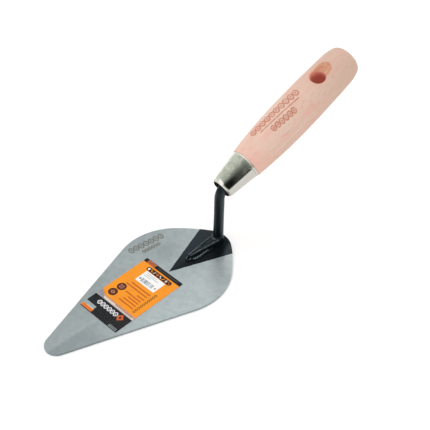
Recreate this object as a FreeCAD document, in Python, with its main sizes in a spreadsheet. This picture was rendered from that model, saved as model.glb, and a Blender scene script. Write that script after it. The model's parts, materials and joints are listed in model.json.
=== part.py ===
import FreeCAD, Part
import Sketcher
import math
import os
import re

# Brick trowel, millimetres.
#
# Frame: +Z up.  The origin is the point of the blade's underside straight
# below the tang's shank.  The blade points along -Y, the handle leans back
# and up along +Y, and X runs across the blade.  YZ is the plane of symmetry.

Vector = FreeCAD.Vector
Rotation = FreeCAD.Rotation
Placement = FreeCAD.Placement
Constraint = Sketcher.Constraint
Line = Part.LineSegment

# Point numbers and fixed geometry in sketch constraints
START, END, CENTRE = 1, 2, 3
ORIGIN = (-1, 1)
V_AXIS = -2

MATCH = 1e-3  # tolerance for finding edges by place
Z_AXIS = Vector(0, 0, 1)

doc = FreeCAD.newDocument("brick_trowel")

# ----------------------------------------------------------------------------
# driving dimensions: alias, value, note
# ----------------------------------------------------------------------------
DIMENSIONS = [
    # blade
    ("blade_length", 150.0, "heel edge to tip"),
    ("blade_thick", 1.2, "sheet thickness"),
    ("heel_setback", 6.0, "shank axis to heel edge"),
    ("heel_radius", 16.6, "arc of the heel"),
    ("flank_radius", 111.0, "slow arc between heel and shoulder"),
    ("shoulder_radius", 40.0, "arc of the widest part"),
    ("shoulder_offset", 1.0, "shoulder arc centre past the middle line"),
    ("widest_setback", 40.8, "shank axis to widest station"),
    ("tip_radius", 8.45, "rounded point"),
    ("edge_round", 0.25, "broken edge on the upper face"),
    # painted heel
    ("coat_thick", 0.08, "paint film"),
    ("coat_apex", 44.4, "shank axis to the point of the painted wedge"),
    ("coat_half_angle", 20.9, "half angle of the painted wedge"),
    ("coat_reach", 60.0, "length of the cutting wedge, past the heel"),
    ("wedge_height", 5.0, "height of the cutting wedge, past the film"),
    # tang
    ("shank_diameter", 6.9, "round shank"),
    ("shank_base_offset", -0.1, "shank centre at the blade"),
    ("shank_lean", 1.74, "shank leans back, degrees"),
    ("bend_radius", 11.0, "centre line radius of the gooseneck"),
    ("spike_length", 66.0, "spike beyond the gooseneck"),
    ("spike_end_diameter", 3.6, "spike tip"),
    ("spike_overlap", 0.02, "spike sunk into the gooseneck"),
    ("spike_full", 2.0, "front of the spike at full diameter"),
    ("spike_point", 1.2, "length of the spike's cone point"),
    ("foot_height", 4.3, "foot above the blade"),
    ("foot_top_wide", 3.5, "half width of the foot's top at the shank"),
    ("foot_top_narrow", 1.15, "half width of the foot's top at the nose"),
    ("foot_base_wide", 4.1, "half width of the foot's base at the shank"),
    ("foot_base_narrow", 1.9, "half width of the foot's base at the nose"),
    ("foot_top_nose", 25.6, "shank axis to the top of the nose"),
    ("foot_base_nose", 27.6, "shank axis to the toe of the nose"),
    ("foot_back", 2.5, "foot behind the shank axis"),
    ("foot_edge_round", 0.5, "broken edge along the foot's top"),
    # welds
    ("bead_radius", 1.5, "weld bead"),
    ("bead_start", 9.0, "bead's heel end"),
    ("bead_end", 26.5, "bead's nose end"),
    ("nose_bead_radius", 2.3, "weld pool at the nose"),
    # handle axis
    ("axis_y", 11.0, "handle datum, along Y"),
    ("axis_z", 49.18, "handle datum, height"),
    ("axis_tilt", 22.48, "handle axis above the blade, degrees"),
    # ferrule, stations along the handle axis from the datum
    ("ferrule_nose", 9.4, "rolled nose, in front of the datum"),
    ("ferrule_shoulder", 7.7, "end of the rolled nose, in front of the datum"),
    ("ferrule_rim", 14.6, "rim, behind the datum"),
    ("ferrule_mouth", 6.6, "radius of the opening in the nose"),
    ("ferrule_small", 8.12, "outer radius at the shoulder"),
    ("ferrule_large", 11.02, "outer radius at the rim"),
    ("ferrule_wall", 0.8, "wall"),
    ("ferrule_nose_round", 1.1, "rounding of the shoulder"),
    ("ferrule_rim_chamfer", 0.35, "chamfer around the outside of the rim"),
    # wooden handle
    ("neck_front", 3.0, "front of the neck, in front of the datum"),
    ("neck_gap", 0.05, "fit of the neck in the ferrule"),
    ("grip_shoulder", 14.65, "shoulder behind the ferrule"),
    ("grip_station", 61.85, "station of the largest radius"),
    ("grip_radius", 14.11, "largest radius"),
    ("grip_front_arc", 400.0, "belly arc towards the ferrule"),
    ("grip_rear_arc", 993.0, "belly arc towards the end"),
    ("end_station", 104.6, "where the end begins to close"),
    ("end_arc", 32.3, "first closing arc"),
    ("end_corner", 5.47, "corner arc"),
    ("end_dome", 36.3, "dome of the end"),
    ("grip_end", 117.69, "end of the handle"),
    ("spike_gap", 0.06, "fit of the spike in the wood"),
    ("bore_overrun", 1.0, "bore cut starts in front of the neck"),
    ("bore_front_gap", 0.2, "wide part of the bore, past that of the spike"),
    ("bore_end_gap", 1.0, "bore beyond the end of the spike"),
    ("hole_station", 88.1, "hanging hole"),
    ("hole_radius", 5.4, "hanging hole"),
    ("hole_turn", 8.5, "turn of the hole about the handle axis, degrees"),
    ("scoop_station", 94.4, "round scoop beside the hole"),
    ("scoop_rim", 6.4, "radius of the scoop where it meets the surface"),
    ("scoop_depth", 3.0, "depth of the scoop"),
    ("scoop_turn", 4.0, "turn of the scoop about the handle axis, degrees"),
    # paper label and printed sticker
    ("label_length", 58.5, "along the blade"),
    ("label_width", 34.2, "across the blade"),
    ("label_thick", 0.12, "paper"),
    ("label_corner", 0.8, "corner"),
    ("label_station", 75.0, "shank axis to the middle of the label"),
    ("label_shift", -1.16, "middle of the label off the centre line"),
    ("label_turn", 2.33, "label and sticker turned on the blade, degrees"),
    ("sticker_length", 10.7, "along the blade"),
    ("sticker_width", 17.4, "across the blade"),
    ("sticker_thick", 0.1, "paper"),
    ("sticker_corner", 0.5, "corner"),
    ("sticker_station", 59.4, "shank axis to the middle of the sticker"),
    ("sticker_shift", -1.42, "middle of the sticker off the centre line"),
]

sheet = doc.addObject("Spreadsheet::Sheet", "Dimensions")
sheet.Label = "Dimensions"
size = {}
for row, (alias, value, note) in enumerate(DIMENSIONS, start=1):
    sheet.set("A%d" % row, alias)
    sheet.set("B%d" % row, "%g" % value)
    sheet.set("C%d" % row, note)
    sheet.setAlias("B%d" % row, alias)
    size[alias] = value
doc.recompute()


# ----------------------------------------------------------------------------
# document helpers
# ----------------------------------------------------------------------------
def cell(expr):
    """Prefix every alias in an expression with the sheet's name."""
    def prefixed(match):
        word = match.group()
        return "Dimensions." + word if word in size else word
    return re.sub("[a-z_]+", prefixed, expr)


def bind(obj, path, expr):
    obj.setExpression(path, cell(expr))


def place(obj, rotation, **coordinates):
    """Turn an object and bind the given coordinates of its place."""
    obj.Placement = Placement(Vector(0, 0, 0), rotation)
    for axis, expr in coordinates.items():
        bind(obj, "Placement.Base." + axis, expr)


def check(obj):
    if any(state in ("Invalid", "Error") for state in obj.State):
        raise RuntimeError("%s is %s" % (obj.Label, obj.State))


def build(obj):
    """Recompute, and check the object just added."""
    doc.recompute()
    check(obj)
    return obj


def check_cut(after, before):
    if not after.Shape.Volume < before.Shape.Volume:
        raise RuntimeError("%s cuts nothing" % after.Label)


def new_body(name, label=None):
    body = doc.addObject("PartDesign::Body", name)
    body.Label = label or name
    return body


def boolean(kind, name, base, tool, label=None):
    result = doc.addObject("Part::" + kind, name)
    result.Base = base
    result.Tool = tool
    result.Label = label or name
    return result


def pad(body, sketch, name, length):
    feature = body.newObject("PartDesign::Pad", name)
    feature.Profile = sketch
    bind(feature, "Length", length)
    return build(feature)


def revolve(body, kind, name, sketch, axis="V_Axis"):
    """Full turn of a sketch, added (Revolution) or cut away (Groove)."""
    feature = body.newObject("PartDesign::" + kind, name)
    feature.Profile = sketch
    feature.ReferenceAxis = (sketch, [axis])
    feature.Angle = 360.0
    return build(feature)


def dress(body, kind, name, base, wanted, amount):
    """Fillet or chamfer the edges of base that wanted() accepts."""
    edges = ["Edge%d" % i for i, edge in enumerate(base.Shape.Edges, 1) if wanted(edge)]
    feature = body.newObject("PartDesign::" + kind, name)
    feature.Base = (base, edges)
    bind(feature, "Size" if kind == "Chamfer" else "Radius", amount)
    return build(feature)


def is_level(edge, z):
    box = edge.BoundBox
    return abs(box.ZMin - z) < MATCH and abs(box.ZMax - z) < MATCH


def is_circle(edge, z, radius):
    """Whether an edge is a circle of this radius, centred at height z."""
    curve = edge.Curve
    return (curve.TypeId == "Part::GeomCircle" and abs(curve.Center.z - z) < MATCH
            and abs(curve.Radius - radius) < MATCH)


# ----------------------------------------------------------------------------
# sketch helpers
# ----------------------------------------------------------------------------
def sketch_on(body, role, name, height=None):
    """Sketch on a plane of the body's origin, raised by an expression."""
    sketch = body.newObject("Sketcher::SketchObject", name)
    base = next(item for item in body.Origin.OriginFeatures if item.Role == role)
    sketch.AttachmentSupport = [(base, "")]
    sketch.MapMode = "FlatFace"
    if height:
        bind(sketch, "AttachmentOffset.Base.z", height)
    return sketch


def dim(sketch, kind, name, expr, *refs, value=None):
    """Driving dimension bound to the sheet; value defaults to the alias's own."""
    if value is None:
        value = size[expr]
    index = sketch.addConstraint(Constraint(kind, *refs, value))
    sketch.renameConstraint(index, name)
    bind(sketch, "Constraints." + name, expr)


def offset(sketch, axis, name, expr, line, point, value=None, negative=False):
    """Distance of a point from the origin; negative: on the axis's minus side."""
    refs = (line, point) + ORIGIN if negative else ORIGIN + (line, point)
    dim(sketch, "Distance" + axis, name, expr, *refs, value=value)


def join(sketch, kind, pairs):
    """Coincident or Tangent: end of the first to start of the second."""
    for first, second in pairs:
        sketch.addConstraint(Constraint(kind, first, END, second, START))


def closed(sketch, segments, kind):
    """Add segments and join them end to start in a ring."""
    ids = [sketch.addGeometry(segment, False) for segment in segments]
    join(sketch, kind, zip(ids, ids[1:] + ids[:1]))
    return ids


def polygon(sketch, points):
    sides = [Line(first, second) for first, second in zip(points, points[1:] + points[:1])]
    return closed(sketch, sides, "Coincident")


def at(x, y):
    """Point or direction in a sketch."""
    return Vector(x, y, 0)


def along(start, through, distance):
    """Point at a distance from start, on the ray through another point."""
    ray = through - start
    return start + ray * (distance / ray.Length)


def arc(centre, radius, first, last):
    """Counter-clockwise arc from first to last."""
    angle_first = math.atan2(first.y - centre.y, first.x - centre.x)
    angle_last = math.atan2(last.y - centre.y, last.x - centre.x)
    if angle_last <= angle_first:
        angle_last += 2 * math.pi
    return Part.ArcOfCircle(Part.Circle(centre, Z_AXIS, radius), angle_first, angle_last)


def circle_crossings(centre_a, radius_a, centre_b, radius_b):
    """Both crossings of two circles."""
    gap = (centre_b - centre_a).Length
    reach = (radius_a ** 2 - radius_b ** 2 + gap ** 2) / (2 * gap)
    half_chord = math.sqrt(radius_a ** 2 - reach ** 2)
    unit = (centre_b - centre_a) * (1.0 / gap)
    middle = centre_a + unit * reach
    side = at(-unit.y, unit.x) * half_chord
    return middle + side, middle - side


# ----------------------------------------------------------------------------
# blade outline: straight edges, shoulder arcs, flank arcs, heel arc, round tip
# ----------------------------------------------------------------------------
def outline_sketch(body, name, height=None):
    heel_r, flank_r = size["heel_radius"], size["flank_radius"]
    shoulder_r, tip_r = size["shoulder_radius"], size["tip_radius"]
    heel_c = at(0, size["heel_setback"] - heel_r)
    tip_c = at(0, size["heel_setback"] - size["blade_length"] + tip_r)
    shoulder_c = at(-size["shoulder_offset"], -size["widest_setback"])
    # the +X flank touches the heel and shoulder arcs from outside
    flank_c = min(
        circle_crossings(heel_c, flank_r - heel_r, shoulder_c, flank_r - shoulder_r),
        key=lambda point: point.x)
    heel_point = along(flank_c, heel_c, flank_r)
    flank_point = along(flank_c, shoulder_c, flank_r)
    # outer tangent line of the shoulder and tip circles, +X side
    axis = shoulder_c - tip_c
    heading = math.atan2(axis.y, axis.x) - math.asin((shoulder_r - tip_r) / axis.Length)
    normal = at(math.sin(heading), -math.cos(heading))
    shoulder_point = shoulder_c + normal * shoulder_r
    tip_point = tip_c + normal * tip_r

    def flip(point):
        return at(-point.x, point.y)

    segments = [
        Line(tip_point, shoulder_point),
        arc(shoulder_c, shoulder_r, shoulder_point, flank_point),
        arc(flank_c, flank_r, flank_point, heel_point),
        arc(heel_c, heel_r, heel_point, flip(heel_point)),
        arc(flip(flank_c), flank_r, flip(heel_point), flip(flank_point)),
        arc(flip(shoulder_c), shoulder_r, flip(flank_point), flip(shoulder_point)),
        Line(flip(shoulder_point), flip(tip_point)),
        arc(tip_c, tip_r, flip(tip_point), tip_point),
    ]
    sketch = sketch_on(body, "XY_Plane", name, height)
    # "_left" is the -X side in plan
    _, shoulder, flank, heel, flank_left, shoulder_left, _, tip = closed(
        sketch, segments, "Tangent")
    for end in (heel, tip):
        sketch.addConstraint(Constraint("PointOnObject", end, CENTRE, V_AXIS))
    dim(sketch, "Radius", "heel", "heel_radius", heel)
    dim(sketch, "Radius", "tip", "tip_radius", tip)
    dim(sketch, "Radius", "flank", "flank_radius", flank)
    dim(sketch, "Radius", "flank_left", "flank_radius", flank_left)
    dim(sketch, "Radius", "shoulder", "shoulder_radius", shoulder)
    dim(sketch, "Radius", "shoulder_left", "shoulder_radius", shoulder_left)
    offset(sketch, "Y", "heel_at", "heel_radius - heel_setback", heel, CENTRE,
           value=-heel_c.y, negative=True)
    offset(sketch, "Y", "tip_at", "blade_length - heel_setback - tip_radius", tip, CENTRE,
           value=-tip_c.y, negative=True)
    # each shoulder arc is centred across the middle line from its own edge
    offset(sketch, "X", "shoulder_x", "shoulder_offset", shoulder, CENTRE, negative=True)
    offset(sketch, "X", "shoulder_left_x", "shoulder_offset", shoulder_left, CENTRE)
    offset(sketch, "Y", "shoulder_y", "widest_setback", shoulder, CENTRE, negative=True)
    offset(sketch, "Y", "shoulder_left_y", "widest_setback", shoulder_left, CENTRE,
           negative=True)
    return sketch


def make_blade():
    body = new_body("Blade", "blade")
    blank = pad(body, outline_sketch(body, "BladeOutline"), "BladeSheet", "blade_thick")
    dress(body, "Fillet", "BladeEdge", blank,
          lambda edge: is_level(edge, size["blade_thick"]), "edge_round")
    return body


# ----------------------------------------------------------------------------
# tang: foot, leaning round shank, gooseneck, tapered spike - one forging
# ----------------------------------------------------------------------------
# Centre line in the YZ sketch plane, where sketch x is Y and sketch y is Z
tilt = math.radians(size["axis_tilt"])
axis_dir = at(math.cos(tilt), math.sin(tilt))
axis_up = at(-math.sin(tilt), math.cos(tilt))
axis_datum = at(size["axis_y"], size["axis_z"])
lean = math.radians(size["shank_lean"])
lean_dir = at(math.sin(lean), math.cos(lean))
shank_foot = at(size["shank_base_offset"], size["blade_thick"])
# corner where the shank's line meets the handle axis
shank_run = (axis_datum - shank_foot).cross(axis_dir).z / lean_dir.cross(axis_dir).z
corner = shank_foot + lean_dir * shank_run
bend_trim = size["bend_radius"] * math.tan(math.acos(lean_dir.dot(axis_dir)) / 2)
bend_in = corner - lean_dir * bend_trim
bend_out = corner + axis_dir * bend_trim
bend_centre = bend_in + at(math.cos(lean), -math.sin(lean)) * size["bend_radius"]
shank_radius = size["shank_diameter"] / 2
spike_end_radius = size["spike_end_diameter"] / 2


def add_shank(body):
    """Round section swept up the shank and around the gooseneck."""
    section = sketch_on(body, "XY_Plane", "ShankRound", "blade_thick")
    circle = section.addGeometry(
        Part.Circle(at(0, size["shank_base_offset"]), Z_AXIS, shank_radius), False)
    dim(section, "Diameter", "shank", "shank_diameter", circle)
    section.addConstraint(Constraint("PointOnObject", circle, CENTRE, V_AXIS))
    offset(section, "Y", "offset", "-shank_base_offset", circle, CENTRE,
           value=-size["shank_base_offset"], negative=True)

    path = sketch_on(body, "YZ_Plane", "ShankPath")
    line = path.addGeometry(Line(shank_foot, bend_in), False)
    bend = path.addGeometry(arc(bend_centre, size["bend_radius"], bend_out, bend_in), False)
    path.addConstraint(Constraint("Tangent", line, END, bend, END))
    dim(path, "Radius", "bend", "bend_radius", bend)
    offset(path, "X", "start_y", "-shank_base_offset", line, START,
           value=-size["shank_base_offset"], negative=True)
    offset(path, "Y", "start_z", "blade_thick", line, START)
    # the handle axis as a construction line that the gooseneck runs into
    axis = path.addGeometry(Line(bend_out, axis_datum), True)
    path.addConstraint(Constraint("Tangent", bend, START, axis, START))
    offset(path, "X", "axis_y_at", "axis_y", axis, END)
    offset(path, "Y", "axis_z_at", "axis_z", axis, END)
    dim(path, "Angle", "axis_angle", "axis_tilt * 1 deg", axis, value=tilt)
    doc.recompute()
    shank = body.newObject("PartDesign::AdditivePipe", "Shank")
    shank.Profile = section
    shank.Spine = (path, ["Edge1", "Edge2"])
    build(shank)


def add_spike(body):
    """Spike turned about the handle axis."""
    front = bend_out - axis_dir * size["spike_overlap"]
    tip = bend_out + axis_dir * size["spike_length"]
    points = [
        front,
        front + axis_up * shank_radius,
        bend_out + axis_dir * size["spike_full"] + axis_up * shank_radius,
        tip - axis_dir * size["spike_point"] + axis_up * spike_end_radius,
        tip,
    ]
    sketch = sketch_on(body, "YZ_Plane", "SpikeProfile")
    face, barrel, _, _, middle = polygon(sketch, points)
    sketch.addConstraint(Constraint("Perpendicular", middle, face))
    sketch.addConstraint(Constraint("Parallel", middle, barrel))
    dim(sketch, "Distance", "front_radius", "shank_diameter / 2", face, value=shank_radius)
    axis = sketch.addGeometry(Line(front, tip), True)
    sketch.addConstraint(Constraint("Coincident", axis, START, face, START))
    sketch.addConstraint(Constraint("Coincident", axis, END, middle, START))
    doc.recompute()
    revolve(body, "Revolution", "Spike", sketch, "Axis0")


def foot_sketch(body, name, height, level):
    """Outline of the foot's base or top, as level says."""
    wide, narrow, nose = ["foot_%s_%s" % (level, part) for part in ("wide", "narrow", "nose")]
    sketch = sketch_on(body, "XY_Plane", name, height)
    left, _, right, _ = polygon(sketch, [
        at(-size[wide], size["foot_back"]),
        at(-size[narrow], -size[nose]),
        at(size[narrow], -size[nose]),
        at(size[wide], size["foot_back"]),
    ])
    sketch.addConstraint(Constraint("Symmetric", left, START, right, END, V_AXIS))
    sketch.addConstraint(Constraint("Symmetric", left, END, right, START, V_AXIS))
    dim(sketch, "DistanceX", "wide", "2 * " + wide, left, START, right, END,
        value=2 * size[wide])
    dim(sketch, "DistanceX", "narrow", "2 * " + narrow, left, END, right, START,
        value=2 * size[narrow])
    offset(sketch, "Y", "nose", nose, left, END, negative=True)
    offset(sketch, "Y", "back", "foot_back", left, START)
    return sketch


def add_foot(body):
    """Foot lofted from its base on the blade to its narrower flat top."""
    base = foot_sketch(body, "FootBase", "blade_thick", "base")
    top = foot_sketch(body, "FootTop", "blade_thick + foot_height", "top")
    doc.recompute()
    foot = body.newObject("PartDesign::AdditiveLoft", "Foot")
    foot.Profile = base
    foot.Sections = [top]
    foot.Ruled = True
    build(foot)

    # top edges that run out in front of the shank
    behind_limit, front_limit = 3, -4
    top_z = size["blade_thick"] + size["foot_height"]

    def is_top_edge(edge):
        box = edge.BoundBox
        return is_level(edge, top_z) and box.YMax < behind_limit and box.YMin < front_limit

    dress(body, "Fillet", "FootRound", foot, is_top_edge, "foot_edge_round")


def make_tang():
    body = new_body("Tang", "tang")
    add_shank(body)
    add_spike(body)
    add_foot(body)
    return body


# ----------------------------------------------------------------------------
# weld beads: one along each side of the foot and a pool at its nose,
# trimmed to the steel they join
# ----------------------------------------------------------------------------
def bead_point(side, station):
    """Point on the foot's base edge; station is measured towards the nose."""
    share = (station + size["foot_back"]) / (size["foot_base_nose"] + size["foot_back"])
    wide, narrow = size["foot_base_wide"], size["foot_base_narrow"]
    half_width = wide + share * (narrow - wide)
    return Vector(side * half_width, -station, size["blade_thick"])


def make_weld(tang):
    beads = []
    # left and right as seen from the handle
    for side, tag in ((1, "Left"), (-1, "Right")):
        start = bead_point(side, size["bead_start"])
        end = bead_point(side, size["bead_end"])
        bead = doc.addObject("Part::Cylinder", "Bead" + tag)
        bind(bead, "Radius", "bead_radius")
        bind(bead, "Height",
             "sqrt((bead_end - bead_start)^2 + ((foot_base_wide - foot_base_narrow)"
             " * (bead_end - bead_start) / (foot_base_nose + foot_back))^2)")
        bead.Placement = Placement(start, Rotation(Z_AXIS, end - start))
        beads.append(bead)
    pool = doc.addObject("Part::Sphere", "NosePool")
    bind(pool, "Radius", "nose_bead_radius")
    place(pool, Rotation(), y="-foot_base_nose", z="blade_thick")
    joined = doc.addObject("Part::MultiFuse", "BeadsAndPool")
    joined.Shapes = beads + [pool]

    # box around the beads that keeps only what lies above the blade
    box_across, box_along, box_height = 20, 40, 6
    box_front_y = -36
    box = doc.addObject("Part::Box", "AboveBlade")
    box.Length, box.Width, box.Height = box_across, box_along, box_height
    box.Placement = Placement(Vector(-box_across / 2, box_front_y, 0), Rotation())
    bind(box, "Placement.Base.z", "blade_thick")
    above = boolean("Common", "BeadsAboveBlade", joined, box)
    return build(boolean("Cut", "WeldBeads", above, tang, "weld_beads"))


# ----------------------------------------------------------------------------
# painted heel: thin film over the wedge-shaped end of the blade
# ----------------------------------------------------------------------------
def make_coat(tang, weld):
    film = new_body("CoatFilm")
    pad(film, outline_sketch(film, "CoatOutline", "blade_thick"), "CoatPad", "coat_thick")

    wedge = new_body("CoatWedge")
    sketch = sketch_on(wedge, "XY_Plane", "WedgeOutline")
    apex, reach = size["coat_apex"], size["coat_reach"]
    half_width = reach * math.tan(math.radians(size["coat_half_angle"]))
    side, back, _ = polygon(sketch, [
        at(0, -apex), at(half_width, reach - apex), at(-half_width, reach - apex)])
    sketch.addConstraint(Constraint("PointOnObject", side, START, V_AXIS))
    sketch.addConstraint(Constraint("Symmetric", back, START, back, END, V_AXIS))
    offset(sketch, "Y", "apex", "coat_apex", side, START, negative=True)
    offset(sketch, "Y", "reach", "coat_reach - coat_apex", back, START, value=reach - apex)
    dim(sketch, "DistanceX", "spread", "2 * coat_reach * tan(coat_half_angle * 1 deg)",
        back, END, back, START, value=2 * half_width)
    pad(wedge, sketch, "WedgePad", "wedge_height")

    inset = build(boolean("Common", "CoatOnBlade", film, wedge))
    steel = doc.addObject("Part::MultiFuse", "TangAndWeld")
    steel.Shapes = [tang, weld]
    return build(boolean("Cut", "HeelCoat", inset, steel, "heel_coat"))


# ----------------------------------------------------------------------------
# ferrule and handle are modelled standing on their own axis (Z is the handle
# axis, -Y its upper side) and are laid into the trowel's frame
# ----------------------------------------------------------------------------
def lay(obj):
    place(obj, Rotation(Vector(1, 0, 0), -(90 - size["axis_tilt"])), y="axis_y", z="axis_z")


def make_ferrule():
    nose, shoulder, rim = size["ferrule_nose"], size["ferrule_shoulder"], size["ferrule_rim"]
    mouth, small, large = size["ferrule_mouth"], size["ferrule_small"], size["ferrule_large"]
    wall = size["ferrule_wall"]
    # corner, radius and its expression, station and the expression of its distance
    corners = [
        ("lip", mouth, "ferrule_mouth", -nose, "ferrule_nose"),
        ("shoulder", small, "ferrule_small", -shoulder, "ferrule_shoulder"),
        ("rim", large, "ferrule_large", rim, "ferrule_rim"),
        ("rim_in", large - wall, "ferrule_large - ferrule_wall", rim, "ferrule_rim"),
        ("shoulder_in", small - wall, "ferrule_small - ferrule_wall",
         -shoulder, "ferrule_shoulder"),
        ("lip_in", mouth, "ferrule_mouth", -nose + wall, "ferrule_nose - ferrule_wall"),
    ]
    body = new_body("Ferrule", "ferrule")
    sketch = sketch_on(body, "XZ_Plane", "FerruleProfile")
    sides = polygon(sketch, [at(radius, station) for _, radius, _, station, _ in corners])
    for side, (name, radius, radius_expr, station, station_expr) in zip(sides, corners):
        offset(sketch, "X", name + "_r", radius_expr, side, START, value=radius)
        offset(sketch, "Y", name + "_s", station_expr, side, START,
               value=abs(station), negative=station < 0)
    tube = revolve(body, "Revolution", "FerruleTube", sketch)
    rounded = dress(body, "Fillet", "FerruleNose", tube,
                    lambda edge: is_circle(edge, -shoulder, small), "ferrule_nose_round")
    dress(body, "Chamfer", "FerruleRim", rounded,
          lambda edge: is_circle(edge, rim, large), "ferrule_rim_chamfer")
    lay(body)
    return body


def neck_radius(station):
    """Radius of the neck, which follows the inside of the ferrule."""
    small, shoulder = size["ferrule_small"], size["ferrule_shoulder"]
    slope = (size["ferrule_large"] - small) / (size["ferrule_rim"] + shoulder)
    return small - size["ferrule_wall"] + slope * (station + shoulder) - size["neck_gap"]


NECK_EXPR = ("ferrule_small - ferrule_wall - neck_gap + (ferrule_large - ferrule_small)"
             " * (ferrule_shoulder %s) / (ferrule_rim + ferrule_shoulder)")


def turn_grip(body):
    """Neck, shoulder, belly and domed end, turned about the handle axis."""
    front_r, rear_r = size["grip_front_arc"], size["grip_rear_arc"]
    closing_r, corner_r, dome_r = size["end_arc"], size["end_corner"], size["end_dome"]
    neck_s, shoulder_s = -size["neck_front"], size["grip_shoulder"]
    belly_s, closing_s = size["grip_station"], size["end_station"]

    neck_axis = at(0, neck_s)
    neck_small = at(neck_radius(neck_s), neck_s)
    neck_large = at(neck_radius(shoulder_s), shoulder_s)
    belly = at(size["grip_radius"], belly_s)
    front_c = at(belly.x - front_r, belly_s)
    rear_c = at(belly.x - rear_r, belly_s)
    shoulder = at(front_c.x + math.sqrt(front_r ** 2 - (shoulder_s - belly_s) ** 2), shoulder_s)
    closing = at(rear_c.x + math.sqrt(rear_r ** 2 - (closing_s - belly_s) ** 2), closing_s)
    closing_c = along(closing, rear_c, closing_r)
    end = at(0, size["grip_end"])
    dome_c = at(0, size["grip_end"] - dome_r)
    # the corner arc lies inside both the closing arc and the dome
    corner_c = max(circle_crossings(closing_c, closing_r - corner_r, dome_c, dome_r - corner_r),
                   key=lambda point: point.x)
    corner_start = along(closing_c, corner_c, closing_r)
    corner_end = along(dome_c, corner_c, dome_r)

    sketch = sketch_on(body, "XZ_Plane", "GripProfile")
    face, neck, ledge, front, rear, closer, edge, dome, axis = [
        sketch.addGeometry(segment, False) for segment in (
            Line(neck_axis, neck_small),
            Line(neck_small, neck_large),
            Line(neck_large, shoulder),
            arc(front_c, front_r, shoulder, belly),
            arc(rear_c, rear_r, belly, closing),
            arc(closing_c, closing_r, closing, corner_start),
            arc(corner_c, corner_r, corner_start, corner_end),
            arc(dome_c, dome_r, corner_end, end),
            Line(end, neck_axis),
        )]
    join(sketch, "Coincident",
         [(face, neck), (neck, ledge), (ledge, front), (dome, axis), (axis, face)])
    join(sketch, "Tangent", [(front, rear), (rear, closer), (closer, edge), (edge, dome)])
    sketch.addConstraint(Constraint("Horizontal", face))
    sketch.addConstraint(Constraint("Horizontal", ledge))
    for line, point in ((axis, START), (axis, END), (dome, CENTRE)):
        sketch.addConstraint(Constraint("PointOnObject", line, point, V_AXIS))
    dim(sketch, "Radius", "front_arc", "grip_front_arc", front)
    dim(sketch, "Radius", "rear_arc", "grip_rear_arc", rear)
    dim(sketch, "Radius", "closing_arc", "end_arc", closer)
    dim(sketch, "Radius", "corner_arc", "end_corner", edge)
    dim(sketch, "Radius", "dome_arc", "end_dome", dome)
    offset(sketch, "Y", "belly_centre", "grip_station", front, CENTRE)
    offset(sketch, "Y", "belly_station", "grip_station", front, END)
    offset(sketch, "X", "belly_radius", "grip_radius", front, END)
    offset(sketch, "Y", "neck_station", "neck_front", face, END, negative=True)
    offset(sketch, "X", "neck_small", NECK_EXPR % "- neck_front", neck, START,
           value=neck_small.x)
    offset(sketch, "X", "neck_large", NECK_EXPR % "+ grip_shoulder", neck, END,
           value=neck_large.x)
    offset(sketch, "Y", "shoulder_station", "grip_shoulder", ledge, START)
    offset(sketch, "Y", "closing_station", "end_station", rear, END)
    offset(sketch, "Y", "end_at", "grip_end", axis, START)
    return revolve(body, "Revolution", "GripTurned", sketch)


def bore_grip(body):
    """Blind tapered bore for the spike."""
    front = -size["neck_front"] - size["bore_overrun"]
    spike_start = (bend_out - axis_datum).dot(axis_dir)
    taper_start = spike_start + size["spike_full"] + size["bore_front_gap"]
    taper_end = spike_start + size["spike_length"]
    bottom = taper_end + size["bore_end_gap"]
    wide = shank_radius + size["spike_gap"]
    narrow = spike_end_radius + size["spike_gap"]
    sketch = sketch_on(body, "XZ_Plane", "SpikeBore")
    sides = polygon(sketch, [
        at(0, front), at(wide, front), at(wide, taper_start),
        at(narrow, taper_end), at(narrow, bottom), at(0, bottom)])
    for side in (sides[0], sides[5]):
        sketch.addConstraint(Constraint("PointOnObject", side, START, V_AXIS))
    wide_expr = "shank_diameter / 2 + spike_gap"
    narrow_expr = "spike_end_diameter / 2 + spike_gap"
    offset(sketch, "X", "mouth", wide_expr, sides[1], START, value=wide)
    offset(sketch, "X", "mouth_in", wide_expr, sides[2], START, value=wide)
    offset(sketch, "X", "end_wide", narrow_expr, sides[3], START, value=narrow)
    offset(sketch, "X", "end_wide_in", narrow_expr, sides[4], START, value=narrow)
    return revolve(body, "Groove", "SpikeBoreCut", sketch)


def drill_grip(body):
    """Hanging hole, square through the handle and turned about its axis."""
    sketch = sketch_on(body, "XZ_Plane", "HangingHole")
    sketch.AttachmentOffset = Placement(
        Vector(0, 0, 0), Rotation(Vector(0, 1, 0), size["hole_turn"]))
    bind(sketch, "AttachmentOffset.Rotation.Angle", "hole_turn * 1 deg")
    circle = sketch.addGeometry(
        Part.Circle(at(0, size["hole_station"]), Z_AXIS, size["hole_radius"]), False)
    sketch.addConstraint(Constraint("PointOnObject", circle, CENTRE, V_AXIS))
    dim(sketch, "Radius", "hole", "hole_radius", circle)
    offset(sketch, "Y", "hole_at", "hole_station", circle, CENTRE)
    hole = body.newObject("PartDesign::Pocket", "HangingHoleCut")
    hole.Profile = sketch
    hole.Type = 1  # through all
    hole.Midplane = True
    return build(hole)


def make_scoop():
    """Ball that cuts the shallow round scoop into the handle's upper side."""
    ball = "(scoop_rim^2 + scoop_depth^2) / (2 * scoop_depth)"
    # distance of the ball's centre from the handle axis
    reach = ("(grip_radius - grip_rear_arc"
             " + sqrt(grip_rear_arc^2 - (scoop_station - grip_station)^2)"
             " + " + ball + " - scoop_depth)")
    scoop = doc.addObject("Part::Sphere", "ScoopCutter")
    bind(scoop, "Radius", ball)
    place(scoop, Rotation(),
          x=reach + " * sin(scoop_turn * 1 deg)",
          y="-1 * " + reach + " * cos(scoop_turn * 1 deg)",
          z="scoop_station")
    return scoop


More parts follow.
